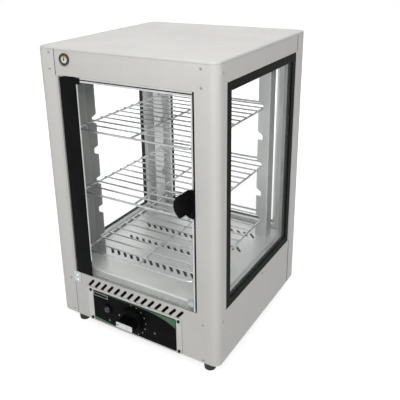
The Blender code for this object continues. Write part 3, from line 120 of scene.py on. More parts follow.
def surface(name, low, high, rough, *, grain, metal=0.0, scale=30, stretch=(1, 1, 1),
            grain_stretch=(1, 1, 1), height=0.25, depth=0.0001, worn=None, spec=None):
    """A colour that drifts between two tones, with grain in its gloss and its relief."""
    material, tree, shader = new_material(name)
    cloud = spread(tree, noise(tree, scale, 4, stretch), 0, 1, 0.35, 0.65)
    colour = mixed(tree, cloud, low, high)
    if worn is not None:
        geometry = tree.nodes.new("ShaderNodeNewGeometry")
        edge = spread(tree, geometry.outputs["Pointiness"], 0, 1, 0.52, 0.62)
        colour = mixed(tree, edge, colour, worn)
    tree.links.new(colour, shader.inputs["Base Color"])
    fine = noise(tree, grain, 2, grain_stretch)
    gloss = spread(tree, fine, rough[0], rough[1])
    tree.links.new(gloss, shader.inputs["Roughness"])
    shader.inputs["Metallic"].default_value = metal
    if spec is not None:
        shader.inputs["Specular IOR Level"].default_value = spec
    bump(tree, shader, fine, height, depth)
    return material


def clear_glass(name, normal_axis, cut_alpha=0.8):
    """Panes with a faint veil; only their cut edges are dull green, as opaque as cut_alpha says.

    The axis is the pane's normal in its own frame.
    """
    material, tree, shader = new_material(name)
    geometry = tree.nodes.new("ShaderNodeNewGeometry")
    own = tree.nodes.new("ShaderNodeVectorTransform")
    own.vector_type = "NORMAL"
    own.convert_from, own.convert_to = "WORLD", "OBJECT"
    tree.links.new(geometry.outputs["True Normal"], own.inputs["Vector"])
    parts = tree.nodes.new("ShaderNodeSeparateXYZ")
    tree.links.new(own.outputs["Vector"], parts.inputs["Vector"])
    size = tree.nodes.new("ShaderNodeMath")
    size.operation = "ABSOLUTE"
    tree.links.new(parts.outputs[normal_axis], size.inputs[0])
    edge = spread(tree, size.outputs["Value"], 1, 0, 0.4, 0.6)
    weight = tree.nodes.new("ShaderNodeLayerWeight")
    weight.inputs["Blend"].default_value = 0.5
    steep = combined(tree, "POWER", weight.outputs["Facing"], 5)
    smear = spread(tree, noise(tree, 14, 5), 0.0, 0.006, 0.45, 0.75)
    veil = combined(tree, "ADD", spread(tree, steep, 0.022, 0.6, 0.0, 1.0), smear)
    alpha = combined(tree, "MAXIMUM", veil, spread(tree, edge, 0, cut_alpha, 0, 1))
    tree.links.new(alpha, shader.inputs["Alpha"])
    colour = mixed(tree, edge, (0.55, 0.62, 0.59), (0.26, 0.30, 0.28))
    tree.links.new(colour, shader.inputs["Base Color"])
    gloss = spread(tree, noise(tree, 60, 3), 0.015, 0.05)
    tree.links.new(gloss, shader.inputs["Roughness"])
    return material


COAT = surface("coat_powder", (0.60, 0.593, 0.572), (0.645, 0.638, 0.615), (0.40, 0.52),
               scale=9, grain=1500, height=0.35, depth=0.00008, worn=(0.70, 0.69, 0.67), spec=0.4)
STEEL = surface("inner_brushed", (0.60, 0.61, 0.60), (0.72, 0.73, 0.72), (0.30, 0.48), metal=0.55,
                scale=6, grain=420, grain_stretch=(1, 1, 0.03), height=0.2, depth=0.00005)
DECK = surface("deck_brushed", (0.70, 0.71, 0.70), (0.80, 0.805, 0.79), (0.34, 0.52), metal=0.35,
               scale=10, grain=420, grain_stretch=(0.03, 1, 1), height=0.2, depth=0.00005)
ZINC = surface("sheet_zinc", (0.44, 0.45, 0.46), (0.56, 0.57, 0.57), (0.34, 0.5), metal=0.8,
               scale=70, grain=300, height=0.15, depth=0.00005)
PLATE = surface("plate_satin", (0.50, 0.50, 0.49), (0.56, 0.56, 0.55), (0.3, 0.42), metal=0.55,
                scale=20, grain=600, grain_stretch=(0.04, 1, 1), height=0.15, depth=0.00004)
CHROME = surface("chrome_plate", (0.74, 0.75, 0.76), (0.82, 0.83, 0.84), (0.08, 0.17), metal=1.0,
                 scale=60, grain=900, height=0.05, depth=0.00003)
WIRE = surface("rack_wire_plate", (0.46, 0.47, 0.47), (0.60, 0.61, 0.61), (0.26, 0.40), metal=0.9,
               scale=120, grain=1400, height=0.12, depth=0.00003)
RUBBER = surface("gasket_rubber", (0.0045, 0.005, 0.0046), (0.0085, 0.009, 0.0083), (0.55, 0.7),
                 scale=60, grain=700, height=0.3, spec=0.05)
FOOT = surface("foot_rubber_matt", (0.009, 0.009, 0.009), (0.02, 0.02, 0.019), (0.6, 0.8),
               scale=60, grain=1500, height=0.4, depth=0.0001)
BLACK = surface("black_moulded", (0.0022, 0.0022, 0.0026), (0.0045, 0.0045, 0.005), (0.36, 0.5),
                grain=1500, height=0.15, spec=0.04)
STILE = surface("stile_black", (0.0032, 0.0035, 0.0037), (0.0062, 0.0065, 0.0068), (0.36, 0.5),
                grain=1200, height=0.12, spec=0.035)
FILM = surface("film_print", (0.0022, 0.0024, 0.0025), (0.0048, 0.005, 0.0052), (0.36, 0.5),
               grain=1500, height=0.1, spec=0.03)
SILVER = surface("face_silver", (0.66, 0.67, 0.67), (0.78, 0.79, 0.79), (0.24, 0.36), metal=0.4,
                 scale=80, grain=900, grain_stretch=(0.05, 1, 1), height=0.1, depth=0.00003)
TRIM = surface("trim_bright", (0.62, 0.63, 0.63), (0.74, 0.75, 0.75), (0.18, 0.3), metal=0.9,
               scale=50, grain=700, grain_stretch=(1, 1, 0.04), height=0.1, depth=0.00003)
LAMP = surface("lamp_glass", (0.006, 0.010, 0.008), (0.010, 0.016, 0.012), (0.08, 0.16),
               scale=300, grain=900, height=0.1, depth=0.00005)
DIAL = surface("dial_card", (0.76, 0.75, 0.71), (0.82, 0.81, 0.77), (0.4, 0.55),
               scale=200, grain=3000, height=0.1, depth=0.00002)
CERAMIC = surface("ceramic_cream", (0.62, 0.58, 0.48), (0.70, 0.66, 0.55), (0.4, 0.6),
                  scale=120, grain=1500, height=0.2, depth=0.00005)
ELEMENT = surface("tube_oxidised", (0.05, 0.047, 0.044), (0.11, 0.10, 0.095), (0.42, 0.62),
                  metal=0.6, scale=90, grain=1500, height=0.3, depth=0.00006)
RIVET = surface("rivet_metal", (0.24, 0.24, 0.235), (0.34, 0.34, 0.33), (0.22, 0.36), metal=0.9,
                scale=400, grain=3000, height=0.15, depth=0.00003)
GREEN = surface("print_green", (0.018, 0.105, 0.035), (0.026, 0.14, 0.045), (0.25, 0.36),
                scale=60, grain=2400, height=0.1, depth=0.00002)
INK = surface("print_pale", (0.33, 0.34, 0.33), (0.42, 0.43, 0.42), (0.3, 0.42),
              scale=90, grain=2400, height=0.1, depth=0.00002)
# Grey print for the film's marks; the same grey is painted shade in the screw heads' cross
# recesses.
PRINT_GREY_AND_PAINTED_SHADE = surface("print_grey_and_painted_shade", (0.10, 0.105, 0.10), (0.15, 0.155, 0.15), (0.3, 0.42),
                   scale=90, grain=2400, height=0.1, depth=0.00002)
RAIL = surface("rail_satin", (0.58, 0.585, 0.58), (0.68, 0.685, 0.675), (0.32, 0.46), metal=0.3,
               stretch=(1, 1, 0.1), grain=1200)
# Dark metal for the gauge's bezel: a painted reflection of the dark surroundings in its chrome.
BEZEL_PAINTED_REFLECTION = surface("bezel_painted_dark_reflection", (0.045, 0.046, 0.044), (0.08, 0.081, 0.078), (0.22, 0.34),
                   metal=0.7, grain=1500, height=0.1)
# A darker copy of the inner steel: painted shade, for the front-left upright and the right window's
# folded steel.
STEEL_PAINTED_SHADE = surface("inner_steel_painted_shade", (0.34, 0.345, 0.34), (0.44, 0.445, 0.435), (0.4, 0.55),
                      metal=0.4, stretch=(1, 1, 0.12), grain=700)
# Near-black: painted shade, for the heater pan and base tray seen through the slots and for the
# rings round the slots.
DARK_PAINTED_SHADE = surface("painted_shade_dark", (0.016, 0.015, 0.014), (0.035, 0.033, 0.031), (0.5, 0.7), scale=24,
               grain=500, height=0.3, spec=0.1)
OCHRE = surface("print_ochre", (0.62, 0.42, 0.14), (0.72, 0.50, 0.18), (0.35, 0.5), grain=1500,
                height=0.05)
GLASS_Y = clear_glass("glass_front_rear", "Y")
GLASS_Z = clear_glass("glass_windows", "Z", 0.03)

LOOKS = {
    "coat": COAT, "inner_steel": STEEL, "zinc_sheet": ZINC, "chrome": CHROME,
    "rack_wire": WIRE, "gasket": RUBBER, "foot_rubber": FOOT, "black_plastic": BLACK,
    "film": FILM, "silver_face": SILVER, "trim": TRIM, "lamp_lens": LAMP, "dial": DIAL,
    "ceramic": CERAMIC, "element": ELEMENT, "glass": GLASS_Y,
}
# These nodes look different from others in the same slot.
SPECIAL = {
    "deck_plate": DECK, "control_plate": PLATE,
    "door_strike": ZINC, "door_hinge_lower": ZINC, "door_hinge_upper": ZINC,
    # The front-left upright takes painted shade; the heater pan and base tray are painted
    # near-black as the shade seen through the slots.
    "upright_front_left": STEEL_PAINTED_SHADE, "heater_pan": DARK_PAINTED_SHADE, "base_tray": DARK_PAINTED_SHADE,
    "magnet_catch": RAIL, "gauge_needle": BLACK,
}


def paint(obj, material):
    if not obj.data.materials:
        obj.data.materials.append(material)
    for slot in obj.material_slots:
        slot.link = "OBJECT"
        slot.material = material


for entry in frame["record"]["subparts"]:
    node = entry["node"]
    paint(frame["nodes"][node], SPECIAL.get(node, LOOKS[entry["material_slot"]]))


# Small pieces. A turn lays a shape's x and y along a face, with its z pointing out.

UPRIGHT = Matrix.Identity(4)
FACE_FRONT = Matrix.Rotation(math.pi / 2, 4, "X")
FACE_RIGHT = Matrix.Rotation(math.pi / 2, 4, "Z") @ FACE_FRONT
FACE_LEFT = Matrix.Rotation(-math.pi / 2, 4, "Z") @ FACE_FRONT
FACE_REAR = Matrix.Rotation(math.pi, 4, "Z") @ FACE_FRONT
SHARP_ANGLE = math.radians(35)


def add(name, bm, place, turn, material, body="case"):
    """Makes a piece of the mesh, with its origin at a place in the world."""
    bmesh.ops.recalc_face_normals(bm, faces=bm.faces)
    mesh = bpy.data.meshes.new(name)
    bm.to_mesh(mesh)
    bm.free()
    mesh.shade_smooth()
    mesh.set_sharp_from_angle(angle=SHARP_ANGLE)
    mesh.materials.append(material)
    obj = bpy.data.objects.new(name, mesh)
    obj.matrix_world = Matrix.Translation(place) @ turn
    bpy.context.scene.collection.objects.link(obj)
    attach(obj, body)
    return obj


def stitch(bm, first, second):
    """Quads between two closed rings with the same number of points."""
    for i in range(len(first)):
        j = (i + 1) % len(first)
        bm.faces.new((first[i], first[j], second[j], second[i]))


def spun(profile, sides):
    """A closed solid from (radius, height) points that start and end on the axis."""
    bm = bmesh.new()
    rings = []
    for radius, height in profile:
        if radius == 0:
            rings.append([bm.verts.new((0, 0, height))])
            continue
        turns = [2 * math.pi * i / sides for i in range(sides)]
        rings.append([
            bm.verts.new((radius * math.cos(a), radius * math.sin(a), height)) for a in turns])
    for first, second in zip(rings, rings[1:]):
        if len(first) == len(second):
            stitch(bm, first, second)
            continue
        for i in range(sides):
            j = (i + 1) % sides
            if len(first) == 1:
                bm.faces.new((first[0], second[j], second[i]))
            else:
                bm.faces.new((first[i], first[j], second[0]))
    return bm


def sheet(outlines, thickness):
    """Flat outlines given some thickness."""
    bm = bmesh.new()
    for outline in outlines:
        low, high = ([bm.verts.new((x, y, z)) for x, y in outline] for z in (0, thickness))
        bm.faces.new(low)
        stitch(bm, low, high)
        bm.faces.new(high)
    return bm


def disc(radius, centre, sides):
    """A circle's points."""
    return [
        (centre[0] + radius * math.cos(2 * math.pi * i / sides),
         centre[1] + radius * math.sin(2 * math.pi * i / sides))
        for i in range(sides)
    ]


def bar(x0, y0, x1, y1):
    """A rectangle's corners."""
    return [(x0, y0), (x1, y0), (x1, y1), (x0, y1)]


RIVET_R, HEAD_SIDES = 0.0022, 20
rivet_profile = [(0, 0), (RIVET_R, 0), (RIVET_R, 0.0003), (RIVET_R * 0.86, 0.0008),
                 (RIVET_R * 0.5, 0.00115), (0, 0.00125)]


def rivet(name, place, turn):
    add(name, spun(rivet_profile, HEAD_SIDES), place, turn, RIVET)


front_rivets = [
    (-0.1467, 0.5140), (-0.1480, 0.4855), (-0.1453, 0.0082), (-0.1470, 0.0784),
    (0.1470, 0.5117), (0.1474, 0.4837), (0.1463, 0.0777), (0.1463, 0.0060)]
for i, (x, z) in enumerate(front_rivets):
    rivet(f"rivet_front_{i}", (x, FRONT_Y, z + BODY_Z), FACE_FRONT)
for i, (y, z) in enumerate([(-0.1574, 0.5059), (-0.1559, 0.0834), (0.0019, 0.0913)]):
    rivet(f"rivet_right_{i}", (SIDE_X, y + BODY_Y, z + BODY_Z), FACE_RIGHT)
    rivet(f"rivet_left_{i}", (-SIDE_X, y + BODY_Y, z + BODY_Z), FACE_LEFT)
rear_rivets = [(-0.150, 0.506), (0.150, 0.506), (-0.150, 0.083), (0.150, 0.083), (0.0, 0.0913)]
for i, (x, z) in enumerate(rear_rivets):
    rivet(f"rivet_rear_{i}", (x, REAR_Y, z + BODY_Z), FACE_REAR)


def screw(name, place, turn, radius, material):
    """A pan head with a cross recess, drawn as a flat dark cross that is painted shade."""
    profile = [(0, 0), (radius, 0), (radius, radius * 0.22), (radius * 0.8, radius * 0.5),
               (radius * 0.45, radius * 0.62), (0, radius * 0.66)]
    add(name, spun(profile, HEAD_SIDES), place, turn, material)
    arm, half = radius * 0.55, radius * 0.11
    lift = turn @ Vector((0, 0, radius * 0.62))
    cross = sheet([bar(-arm, -half, arm, half), bar(-half, -arm, half, arm)], radius * 0.06)
    add(name + "_recess", cross, Vector(place) + lift, turn, PRINT_GREY_AND_PAINTED_SHADE)


PLATE_SCREW_R, HINGE_SCREW_R = 0.0030, 0.0019
HINGE_SCREW_X, HINGE_T = -0.1280, 0.0015
plate_screws = [(-0.0975, 0.0673), (0.0982, 0.0673), (-0.0975, 0.0055), (0.0982, 0.0055)]
for i, (x, z) in enumerate(plate_screws):
    screw(f"plate_screw_{i}", (x, FRONT_Y - PLATE_T, z + BODY_Z), FACE_FRONT, PLATE_SCREW_R,
          BLACK)
for i, z in enumerate((0.0795, 0.0895)):
    screw(f"hinge_screw_{i}", (HINGE_SCREW_X, FRONT_Y - HINGE_T, z + BODY_Z), FACE_FRONT,
          HINGE_SCREW_R, CHROME)

# The printed film: a scale round the knob, a green sweep and a bare box.
KNOB_X, KNOB_Z, SCALE_R = -0.0012, 0.0354, 0.0300
DOT_FIRST, DOT_STEP, DOT_R, DOT_GROWTH, DOT_T = 92, 22.5, 0.0009, 0.00005, 0.00015
SPOT_R, PRINT_GAP = 0.0022, 0.00002
dots = []
for i in range(13):
    turn = math.radians(DOT_FIRST - DOT_STEP * i)
    centre = (KNOB_X + SCALE_R * math.cos(turn), KNOB_Z + SCALE_R * math.sin(turn))
    dots.append(disc(DOT_R + DOT_GROWTH * i, centre, 12))
film_place = (0, FRONT_Y - FILM_T - PRINT_GAP, BODY_Z)
add("film_scale", sheet(dots, DOT_T), film_place, FACE_FRONT, INK)
FILM_LEFT, FILM_RIGHT, FILM_TOP, FILM_LOW = -0.0905, 0.0925, 0.0685, 0.0050
SWEEP_X, SWEEP_Z, SWEEP_DROP, SWEEP_STEPS = -0.0100, 0.0676, 0.0165, 16
sweep = [(SWEEP_X, FILM_TOP)]
for i in range(SWEEP_STEPS + 1):
    share = i / SWEEP_STEPS
    sweep.append((SWEEP_X + (FILM_RIGHT - SWEEP_X) * share, SWEEP_Z - SWEEP_DROP * share ** 3.5))
sweep.append((FILM_RIGHT, FILM_TOP))
low_left = [(FILM_LEFT, FILM_LOW), (FILM_LEFT, 0.0110), (-0.0400, 0.0062), (0.0100, FILM_LOW)]
line = bar(FILM_LEFT, 0.0678, SWEEP_X, FILM_TOP)
add("film_green", sheet([sweep, low_left, line], PRINT_T), film_place, FACE_FRONT, GREEN)
BOX_LEFT, BOX_RIGHT, BOX_LOW, BOX_TOP, BOX_LINE = -0.0910, -0.0566, 0.0588, 0.0662, 0.0012
box_lines = [
    bar(BOX_LEFT, BOX_LOW, BOX_RIGHT, BOX_LOW + BOX_LINE),
    bar(BOX_LEFT, BOX_TOP - BOX_LINE, BOX_RIGHT, BOX_TOP),
    bar(BOX_LEFT, BOX_LOW + BOX_LINE, BOX_LEFT + BOX_LINE, BOX_TOP - BOX_LINE),
    bar(BOX_RIGHT - BOX_LINE, BOX_LOW + BOX_LINE, BOX_RIGHT, BOX_TOP - BOX_LINE)]
add("film_box", sheet(box_lines, PRINT_T), film_place, FACE_FRONT, INK)
spots = [disc(SPOT_R, centre, 20) for centre in ((-0.0550, 0.0140), (0.0480, 0.0240))]
add("film_marks", sheet(spots, PRINT_T), film_place, FACE_FRONT, PRINT_GREY_AND_PAINTED_SHADE)

# The thermometer: a flat bezel painted dark, as a painted reflection of the dark surroundings in
# its chrome; its pane and the face's print.
GAUGE_X, GAUGE_Z = -0.1120, 0.5045 + BODY_Z
BEZEL_R, DIAL_R, BARREL_R, BARREL_DEPTH = 0.0102, 0.0087, 0.0092, 0.0120
BEZEL_SIDES, GAUGE_PRINT_T, DIAL_FRONT = 40, 0.00008, 0.00192
gauge_front = (GAUGE_X, FRONT_Y, GAUGE_Z)
bezel = spun([
    (0, 0.0012), (DIAL_R, 0.0012), (DIAL_R, 0.0031), (DIAL_R + 0.0003, 0.0034),
    (BEZEL_R - 0.0003, 0.0034), (BEZEL_R, 0.0030), (BEZEL_R, 0.0001), (BARREL_R, 0.0001),
    (BARREL_R, -BARREL_DEPTH), (0, -BARREL_DEPTH)], BEZEL_SIDES)
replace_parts(add("gauge_bezel", bezel, gauge_front, FACE_FRONT, BEZEL_PAINTED_REFLECTION), "gauge_case")
LENS_R = DIAL_R - 0.0001
lens = spun([(0, 0.0029), (LENS_R, 0.0029), (LENS_R, 0.0032), (0, 0.0033)], BEZEL_SIDES)
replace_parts(add("gauge_pane", lens, gauge_front, FACE_FRONT, GLASS_Z), "gauge_lens")


def sectors(inner, outer, first, last, count):
    """An arc of a ring as flat quads; the angles are in degrees."""
    quads = []
    for i in range(count):
        turns = [math.radians(first + (last - first) * (i + k) / count) for k in (0, 1)]
        quads.append([(r * math.cos(a), r * math.sin(a)) for r, a in (
            (inner, turns[0]), (inner, turns[1]), (outer, turns[1]), (outer, turns[0]))])
    return quads


print_place = (GAUGE_X, FRONT_Y - DIAL_FRONT, GAUGE_Z)
# A dark ring round the dial's edge: partly print, partly a painted shadow cast by the bezel.
dial_edge_ring = sheet(sectors(0.0064, 0.0085, 0, 360, 36), GAUGE_PRINT_T)
add("gauge_rim_print_and_painted_shadow", dial_edge_ring, print_place, FACE_FRONT, FILM)
arc = sheet(sectors(0.0036, 0.0062, 20, 160, 14), GAUGE_PRINT_T)
add("gauge_arc", arc, print_place, FACE_FRONT, OCHRE)
TICK_FIRST, TICK_STEP, TICK_OUTER, TICK_HALF = 225, 22.5, 0.0078, 0.00018
SHORT_TICK, LONG_TICK, TICK_T = 0.0070, 0.0066, 0.0001
ticks = []
for i in range(13):
    turn = math.radians(TICK_FIRST - TICK_STEP * i)
    cos, sin = math.cos(turn), math.sin(turn)
    inner = SHORT_TICK if i % 3 else LONG_TICK
    ends = ((inner, TICK_HALF), (TICK_OUTER, TICK_HALF), (TICK_OUTER, -TICK_HALF),
            (inner, -TICK_HALF))
    ticks.append([(r * cos - side * sin, r * sin + side * cos) for r, side in ends])
tick_place = Vector(print_place) - Vector((0, TICK_T, 0))
add("gauge_ticks", sheet(ticks, TICK_T), tick_place, FACE_FRONT, INK)

# Painted shade: dark strips along the seams between the two wrapped sheets, where the gaps lie in
# shadow.
SEAM_X, SEAM_Y, SEAM_HALF = -0.1356, 0.1384, 0.0009
OPENING_LOW, OPENING_HIGH, ROOF_LOW = 0.0957, 0.4765, 0.5180
SEAM_LIFT = 0.00001
lines = [bar(SEAM_X - 0.0006, OPENING_HIGH, SEAM_X + 0.0006, ROOF_LOW + 0.0025),
         bar(SEAM_X - 0.0004, 0.0005, SEAM_X + 0.0004, OPENING_LOW)]
add("seam_front", sheet(lines, PRINT_T), (0, FRONT_Y - SEAM_LIFT, BODY_Z), FACE_FRONT,
    RUBBER)
lines = [bar(SEAM_Y - SEAM_HALF, 0.0010, SEAM_Y + SEAM_HALF, 0.1000),
         bar(SEAM_Y - SEAM_HALF, 0.4890, SEAM_Y + SEAM_HALF, ROOF_LOW)]
add("seam_right", sheet(lines, PRINT_T), (SIDE_X + SEAM_LIFT, 0, BODY_Z), FACE_RIGHT,
    RUBBER)

# The door: a rail along the pane's top and free edge, with a dark band of painted shade across the
# rail where the gap above the pane lies in shadow, and a bright strip.
PANE_LOW, PANE_FRONT = 0.0975, FRONT_Y + 0.0005
RAIL_X0, RAIL_X1, RAIL_W, RAIL_T = -0.0828, 0.1318, 0.0029, 0.0006
RAIL_LOW, RAIL_HIGH, RAIL_SHADE_LOW, RAIL_SHADE_HIGH, RAIL_SHADE_T = 0.4684, 0.4762, 0.4716, 0.4734, 0.0002
rail = sheet([[
    (RAIL_X0, RAIL_LOW), (RAIL_X1 - RAIL_W, RAIL_LOW), (RAIL_X1 - RAIL_W, PANE_LOW),
    (RAIL_X1, PANE_LOW), (RAIL_X1, RAIL_HIGH), (RAIL_X0, RAIL_HIGH)]], RAIL_T)
add("door_rail", rail, (0, PANE_FRONT, BODY_Z), FACE_FRONT, RAIL, "door")
rail_shade = sheet([bar(RAIL_X0 - 0.0070, RAIL_SHADE_LOW, RAIL_X1 - 0.0004, RAIL_SHADE_HIGH)], RAIL_SHADE_T)
add("door_rail_painted_shade", rail_shade, (0, PANE_FRONT - RAIL_T, BODY_Z), FACE_FRONT, RUBBER,
    "door")
STRIP_X0, STRIP_X1, STRIP_LOW, STRIP_HIGH = -0.0907, -0.0887, 0.1305, 0.4680
STRIP_T, STRIP_OUT = 0.0009, 0.00005
strip = sheet([bar(STRIP_X0, STRIP_LOW, STRIP_X1, STRIP_HIGH)], STRIP_T)
strip = add("door_bright_strip", strip, (0, FRONT_Y - STRIP_OUT, BODY_Z), FACE_FRONT, RAIL,
            "door")
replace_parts(strip, "door_edge_trim")

# The stile: a round-backed clamp whose rear cheek is narrower than its front one.
PIVOT_X, PIVOT_Y = -0.1255, FRONT_Y + 0.0030
STILE_W, STILE_REAR, STILE_HALF = 0.0345, 0.0285, 0.0040
STILE_SLOT, STILE_SLOT_X, ARC_STEPS = 0.0028, 0.0045, 12
STILE_LOW, STILE_HIGH, HEAD_W, HEAD_H = 0.0975, 0.4747, 0.0080, 0.0100
back = [math.radians(90 + 180 * i / ARC_STEPS) for i in range(ARC_STEPS + 1)]
outline = [(STILE_W, -STILE_HALF), (STILE_W, -STILE_SLOT), (STILE_SLOT_X, -STILE_SLOT),
           (STILE_SLOT_X, STILE_SLOT), (STILE_REAR, STILE_SLOT), (STILE_REAR, STILE_HALF)]
outline += [(STILE_HALF * math.cos(a), STILE_HALF * math.sin(a)) for a in back]
clamp = add("stile_clamp", sheet([outline], STILE_HIGH - STILE_LOW),
            (PIVOT_X, PIVOT_Y, STILE_LOW + BODY_Z), UPRIGHT, STILE, "door")
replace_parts(clamp, "door_stile")
head = sheet([bar(STILE_W + 0.0001, -STILE_HALF, STILE_W + HEAD_W, -STILE_SLOT)], HEAD_H)
add("stile_head", head, (PIVOT_X, PIVOT_Y, STILE_HIGH - HEAD_H + BODY_Z), UPRIGHT, STILE,
    "door")

# The handle: half a spool, cut flat towards the free edge.
HANDLE_X, HANDLE_Z = 0.1323, 0.2998 + BODY_Z


def handle_mesh():
    """Sections from the pane outwards: (height, radius, where the flat side lies, drop)."""
    sections = [
        (0.0001, 0.0246, 0.0014, 0.0032), (0.0033, 0.0246, 0.0014, 0.0032),
        (0.0039, 0.0240, 0.0010, 0.0032), (0.0040, 0.0218, -0.0058, 0.0014),
        (0.0060, 0.0208, -0.0068, 0.0010), (0.0120, 0.0203, -0.0084, 0.0004),
        (0.0160, 0.0210, -0.0094, 0.0002), (0.0196, 0.0225, -0.0103, 0),
        (0.0210, 0.0227, -0.0106, 0), (0.0246, 0.0227, -0.0113, 0),
        (0.0257, 0.0222, -0.0116, 0), (0.0260, 0.0211, -0.0122, 0)]
    steps = 30
    bm = bmesh.new()
    rings = []
    for height, radius, flat, drop in sections:
        start = math.acos(flat / radius)
        turns = [start + (2 * math.pi - 2 * start) * i / steps for i in range(steps + 1)]
        rings.append([
            bm.verts.new((radius * math.cos(a), radius * math.sin(a) - drop, height))
            for a in turns])
    for first, second in zip(rings, rings[1:]):
        stitch(bm, first, second)
    bm.faces.new(reversed(rings[0]))
    bm.faces.new(rings[-1])
    return bm


grip = add("handle_spool", handle_mesh(), (HANDLE_X, PANE_FRONT, HANDLE_Z), FACE_FRONT, BLACK,
           "door")
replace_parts(grip, "door_handle")

# Panes and the folded steel round each window, seen from inside the chamber.
WINDOW_HALF_H, WINDOW_MIDDLE_Z = 0.1941, 0.2942 + BODY_Z
LINING_OUT, LINING_T, PANE_GAP = 0.0030, 0.0004, 0.0002
LIP_BACK, KEEPER_BACK, GROOVE_BACK = -0.0160, -0.0094, -0.0072
PANE_OUTER, PANE_INNER, PANE_CORNER = -0.0030, -0.0070, 0.0012


def frame_ring(half_width, profile):
    """A closed ring along a window's edge; the profile holds (inset or four insets, depth)."""
    bm = bmesh.new()
    rings = []
    for inset, depth in profile:
        left, right, low, high = inset if isinstance(inset, tuple) else (inset,) * 4
        rings.append([bm.verts.new((x, z, depth)) for x, z in (
            (left - half_width, low - WINDOW_HALF_H), (half_width - right, low - WINDOW_HALF_H),
            (half_width - right, WINDOW_HALF_H - high), (left - half_width, WINDOW_HALF_H - high))])
    for first, second in zip(rings, rings[1:] + rings[:1]):
        stitch(bm, first, second)
    return bm


def less(insets, amount):
    """Each inset made smaller."""
    return tuple(inset - amount for inset in insets)


def window_dressing(side, half_width, middle, turn, reach, lip):
    """A pane, the gasket's dark inner edge and the folded steel behind them.

    reach and lip say how far the liner's edge and the gasket's lip stand in from the window's
    left, right, low and high side.
    """
    place = Vector(middle) + Vector((0, 0, WINDOW_MIDDLE_Z))
    folded = frame_ring(half_width, [
        (LINING_OUT, LIP_BACK), (LINING_OUT, LIP_BACK - LINING_T), (reach, LIP_BACK - LINING_T),
        (less(lip, 0.0001), KEEPER_BACK - LINING_T), (less(lip, 0.0005), KEEPER_BACK),
        (less(reach, LINING_T), LIP_BACK)])
    # The right window's folded steel takes the darker copy of the inner steel: painted shade.
    add(f"lining_{side}", folded, place, turn, STEEL_PAINTED_SHADE if side == "right" else STEEL)
    filler = frame_ring(half_width, [
        (less(lip, 0.0006), PANE_OUTER), (less(lip, 0.0001), PANE_OUTER),
        (less(lip, 0.0001), GROOVE_BACK), (less(lip, 0.0006), GROOVE_BACK)])
    add(f"lining_{side}_edge", filler, place, turn, RUBBER)
    left, right, low, high = less(lip, -PANE_GAP)
    x0, x1, cut = left - half_width, half_width - right, PANE_CORNER
    z0, z1 = low - WINDOW_HALF_H, WINDOW_HALF_H - high
    outline = [(x1, z0 + cut), (x1, z1 - cut), (x1 - cut, z1), (x0 + cut, z1), (x0, z1 - cut),
               (x0, z0 + cut), (x0 + cut, z0), (x1 - cut, z0)]
    glass = sheet([outline], PANE_OUTER - PANE_INNER)
    bmesh.ops.translate(glass, vec=(0, 0, PANE_INNER), verts=glass.verts)
    pane = add(f"pane_{side}", glass, place, turn, GLASS_Z)
    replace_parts(pane, f"{side}_window_glass")


WIDE, NARROW, LIP, REAR_LIP = 0.0129, 0.0061, 0.0150, 0.0124
SIDE_MIDDLE_Y = -0.0029
REAR_HALF_W, SIDE_HALF_W = 0.1380, 0.1367
rear_face = (0, REAR_Y, 0)
rear_lip = (REAR_LIP, REAR_LIP, LIP, LIP)
window_dressing("rear", REAR_HALF_W, rear_face, FACE_REAR, (NARROW, WIDE, WIDE, WIDE), rear_lip)
for side, sign, turn in (("left", -1, FACE_LEFT), ("right", 1, FACE_RIGHT)):
    middle = (sign * SIDE_X, SIDE_MIDDLE_Y, 0)
    window_dressing(side, SIDE_HALF_W, middle, turn, (WIDE,) * 4, (LIP,) * 4)
# The rear gasket is narrower at its sides than the others.
ROUND, LIP_FRONT, LIP_GROOVE, LIP_STEP = 0.0006, -0.00015, -0.0028, 0.0010
inner_lip = less(rear_lip, LIP_STEP)
gasket = frame_ring(REAR_HALF_W, [
    (0.0, -ROUND), (ROUND, LIP_FRONT), (less(rear_lip, ROUND), LIP_FRONT), (rear_lip, -ROUND),
    (rear_lip, LIP_GROOVE), (inner_lip, PANE_OUTER), (inner_lip, KEEPER_BACK),
    (LINING_OUT, KEEPER_BACK), (LINING_OUT, PANE_OUTER), (0.0, PANE_OUTER)])
gasket = add("rear_gasket_face", gasket, Vector(rear_face) + Vector((0, 0, WINDOW_MIDDLE_Z)),
             FACE_REAR, RUBBER)
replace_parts(gasket, "rear_window_gasket")


# Painted shadow: dark rings round the punched slots, which make the slots look wider and darker.

END_STEPS = 6


def stadium(length, width, angle, centre):
    """A slot's outline, its whole length and width given."""
    points = []
    for end in (1, -1):
        for i in range(END_STEPS + 1):
            a = math.pi * (i / END_STEPS - 0.5) + (0 if end == 1 else math.pi)
            points.append((end * (length - width) / 2 + width / 2 * math.cos(a),
                           width / 2 * math.sin(a)))
    cos, sin = math.cos(angle), math.sin(angle)
    return [(centre[0] + x * cos - y * sin, centre[1] + x * sin + y * cos) for x, y in points]


def slot_rims(centres, length, width, angle, rim, thickness):
    """A flat ring round each slot."""
    bm = bmesh.new()
    for centre in centres:
        rings = [[bm.verts.new((x, y, z)) for x, y in stadium(
            length + 2 * grow, width + 2 * grow, angle, centre)]
            for grow, z in ((rim, 0), (rim, thickness), (0, thickness), (0, 0))]
        for first, second in zip(rings, rings[1:] + rings[:1]):
            stitch(bm, first, second)
    return bm


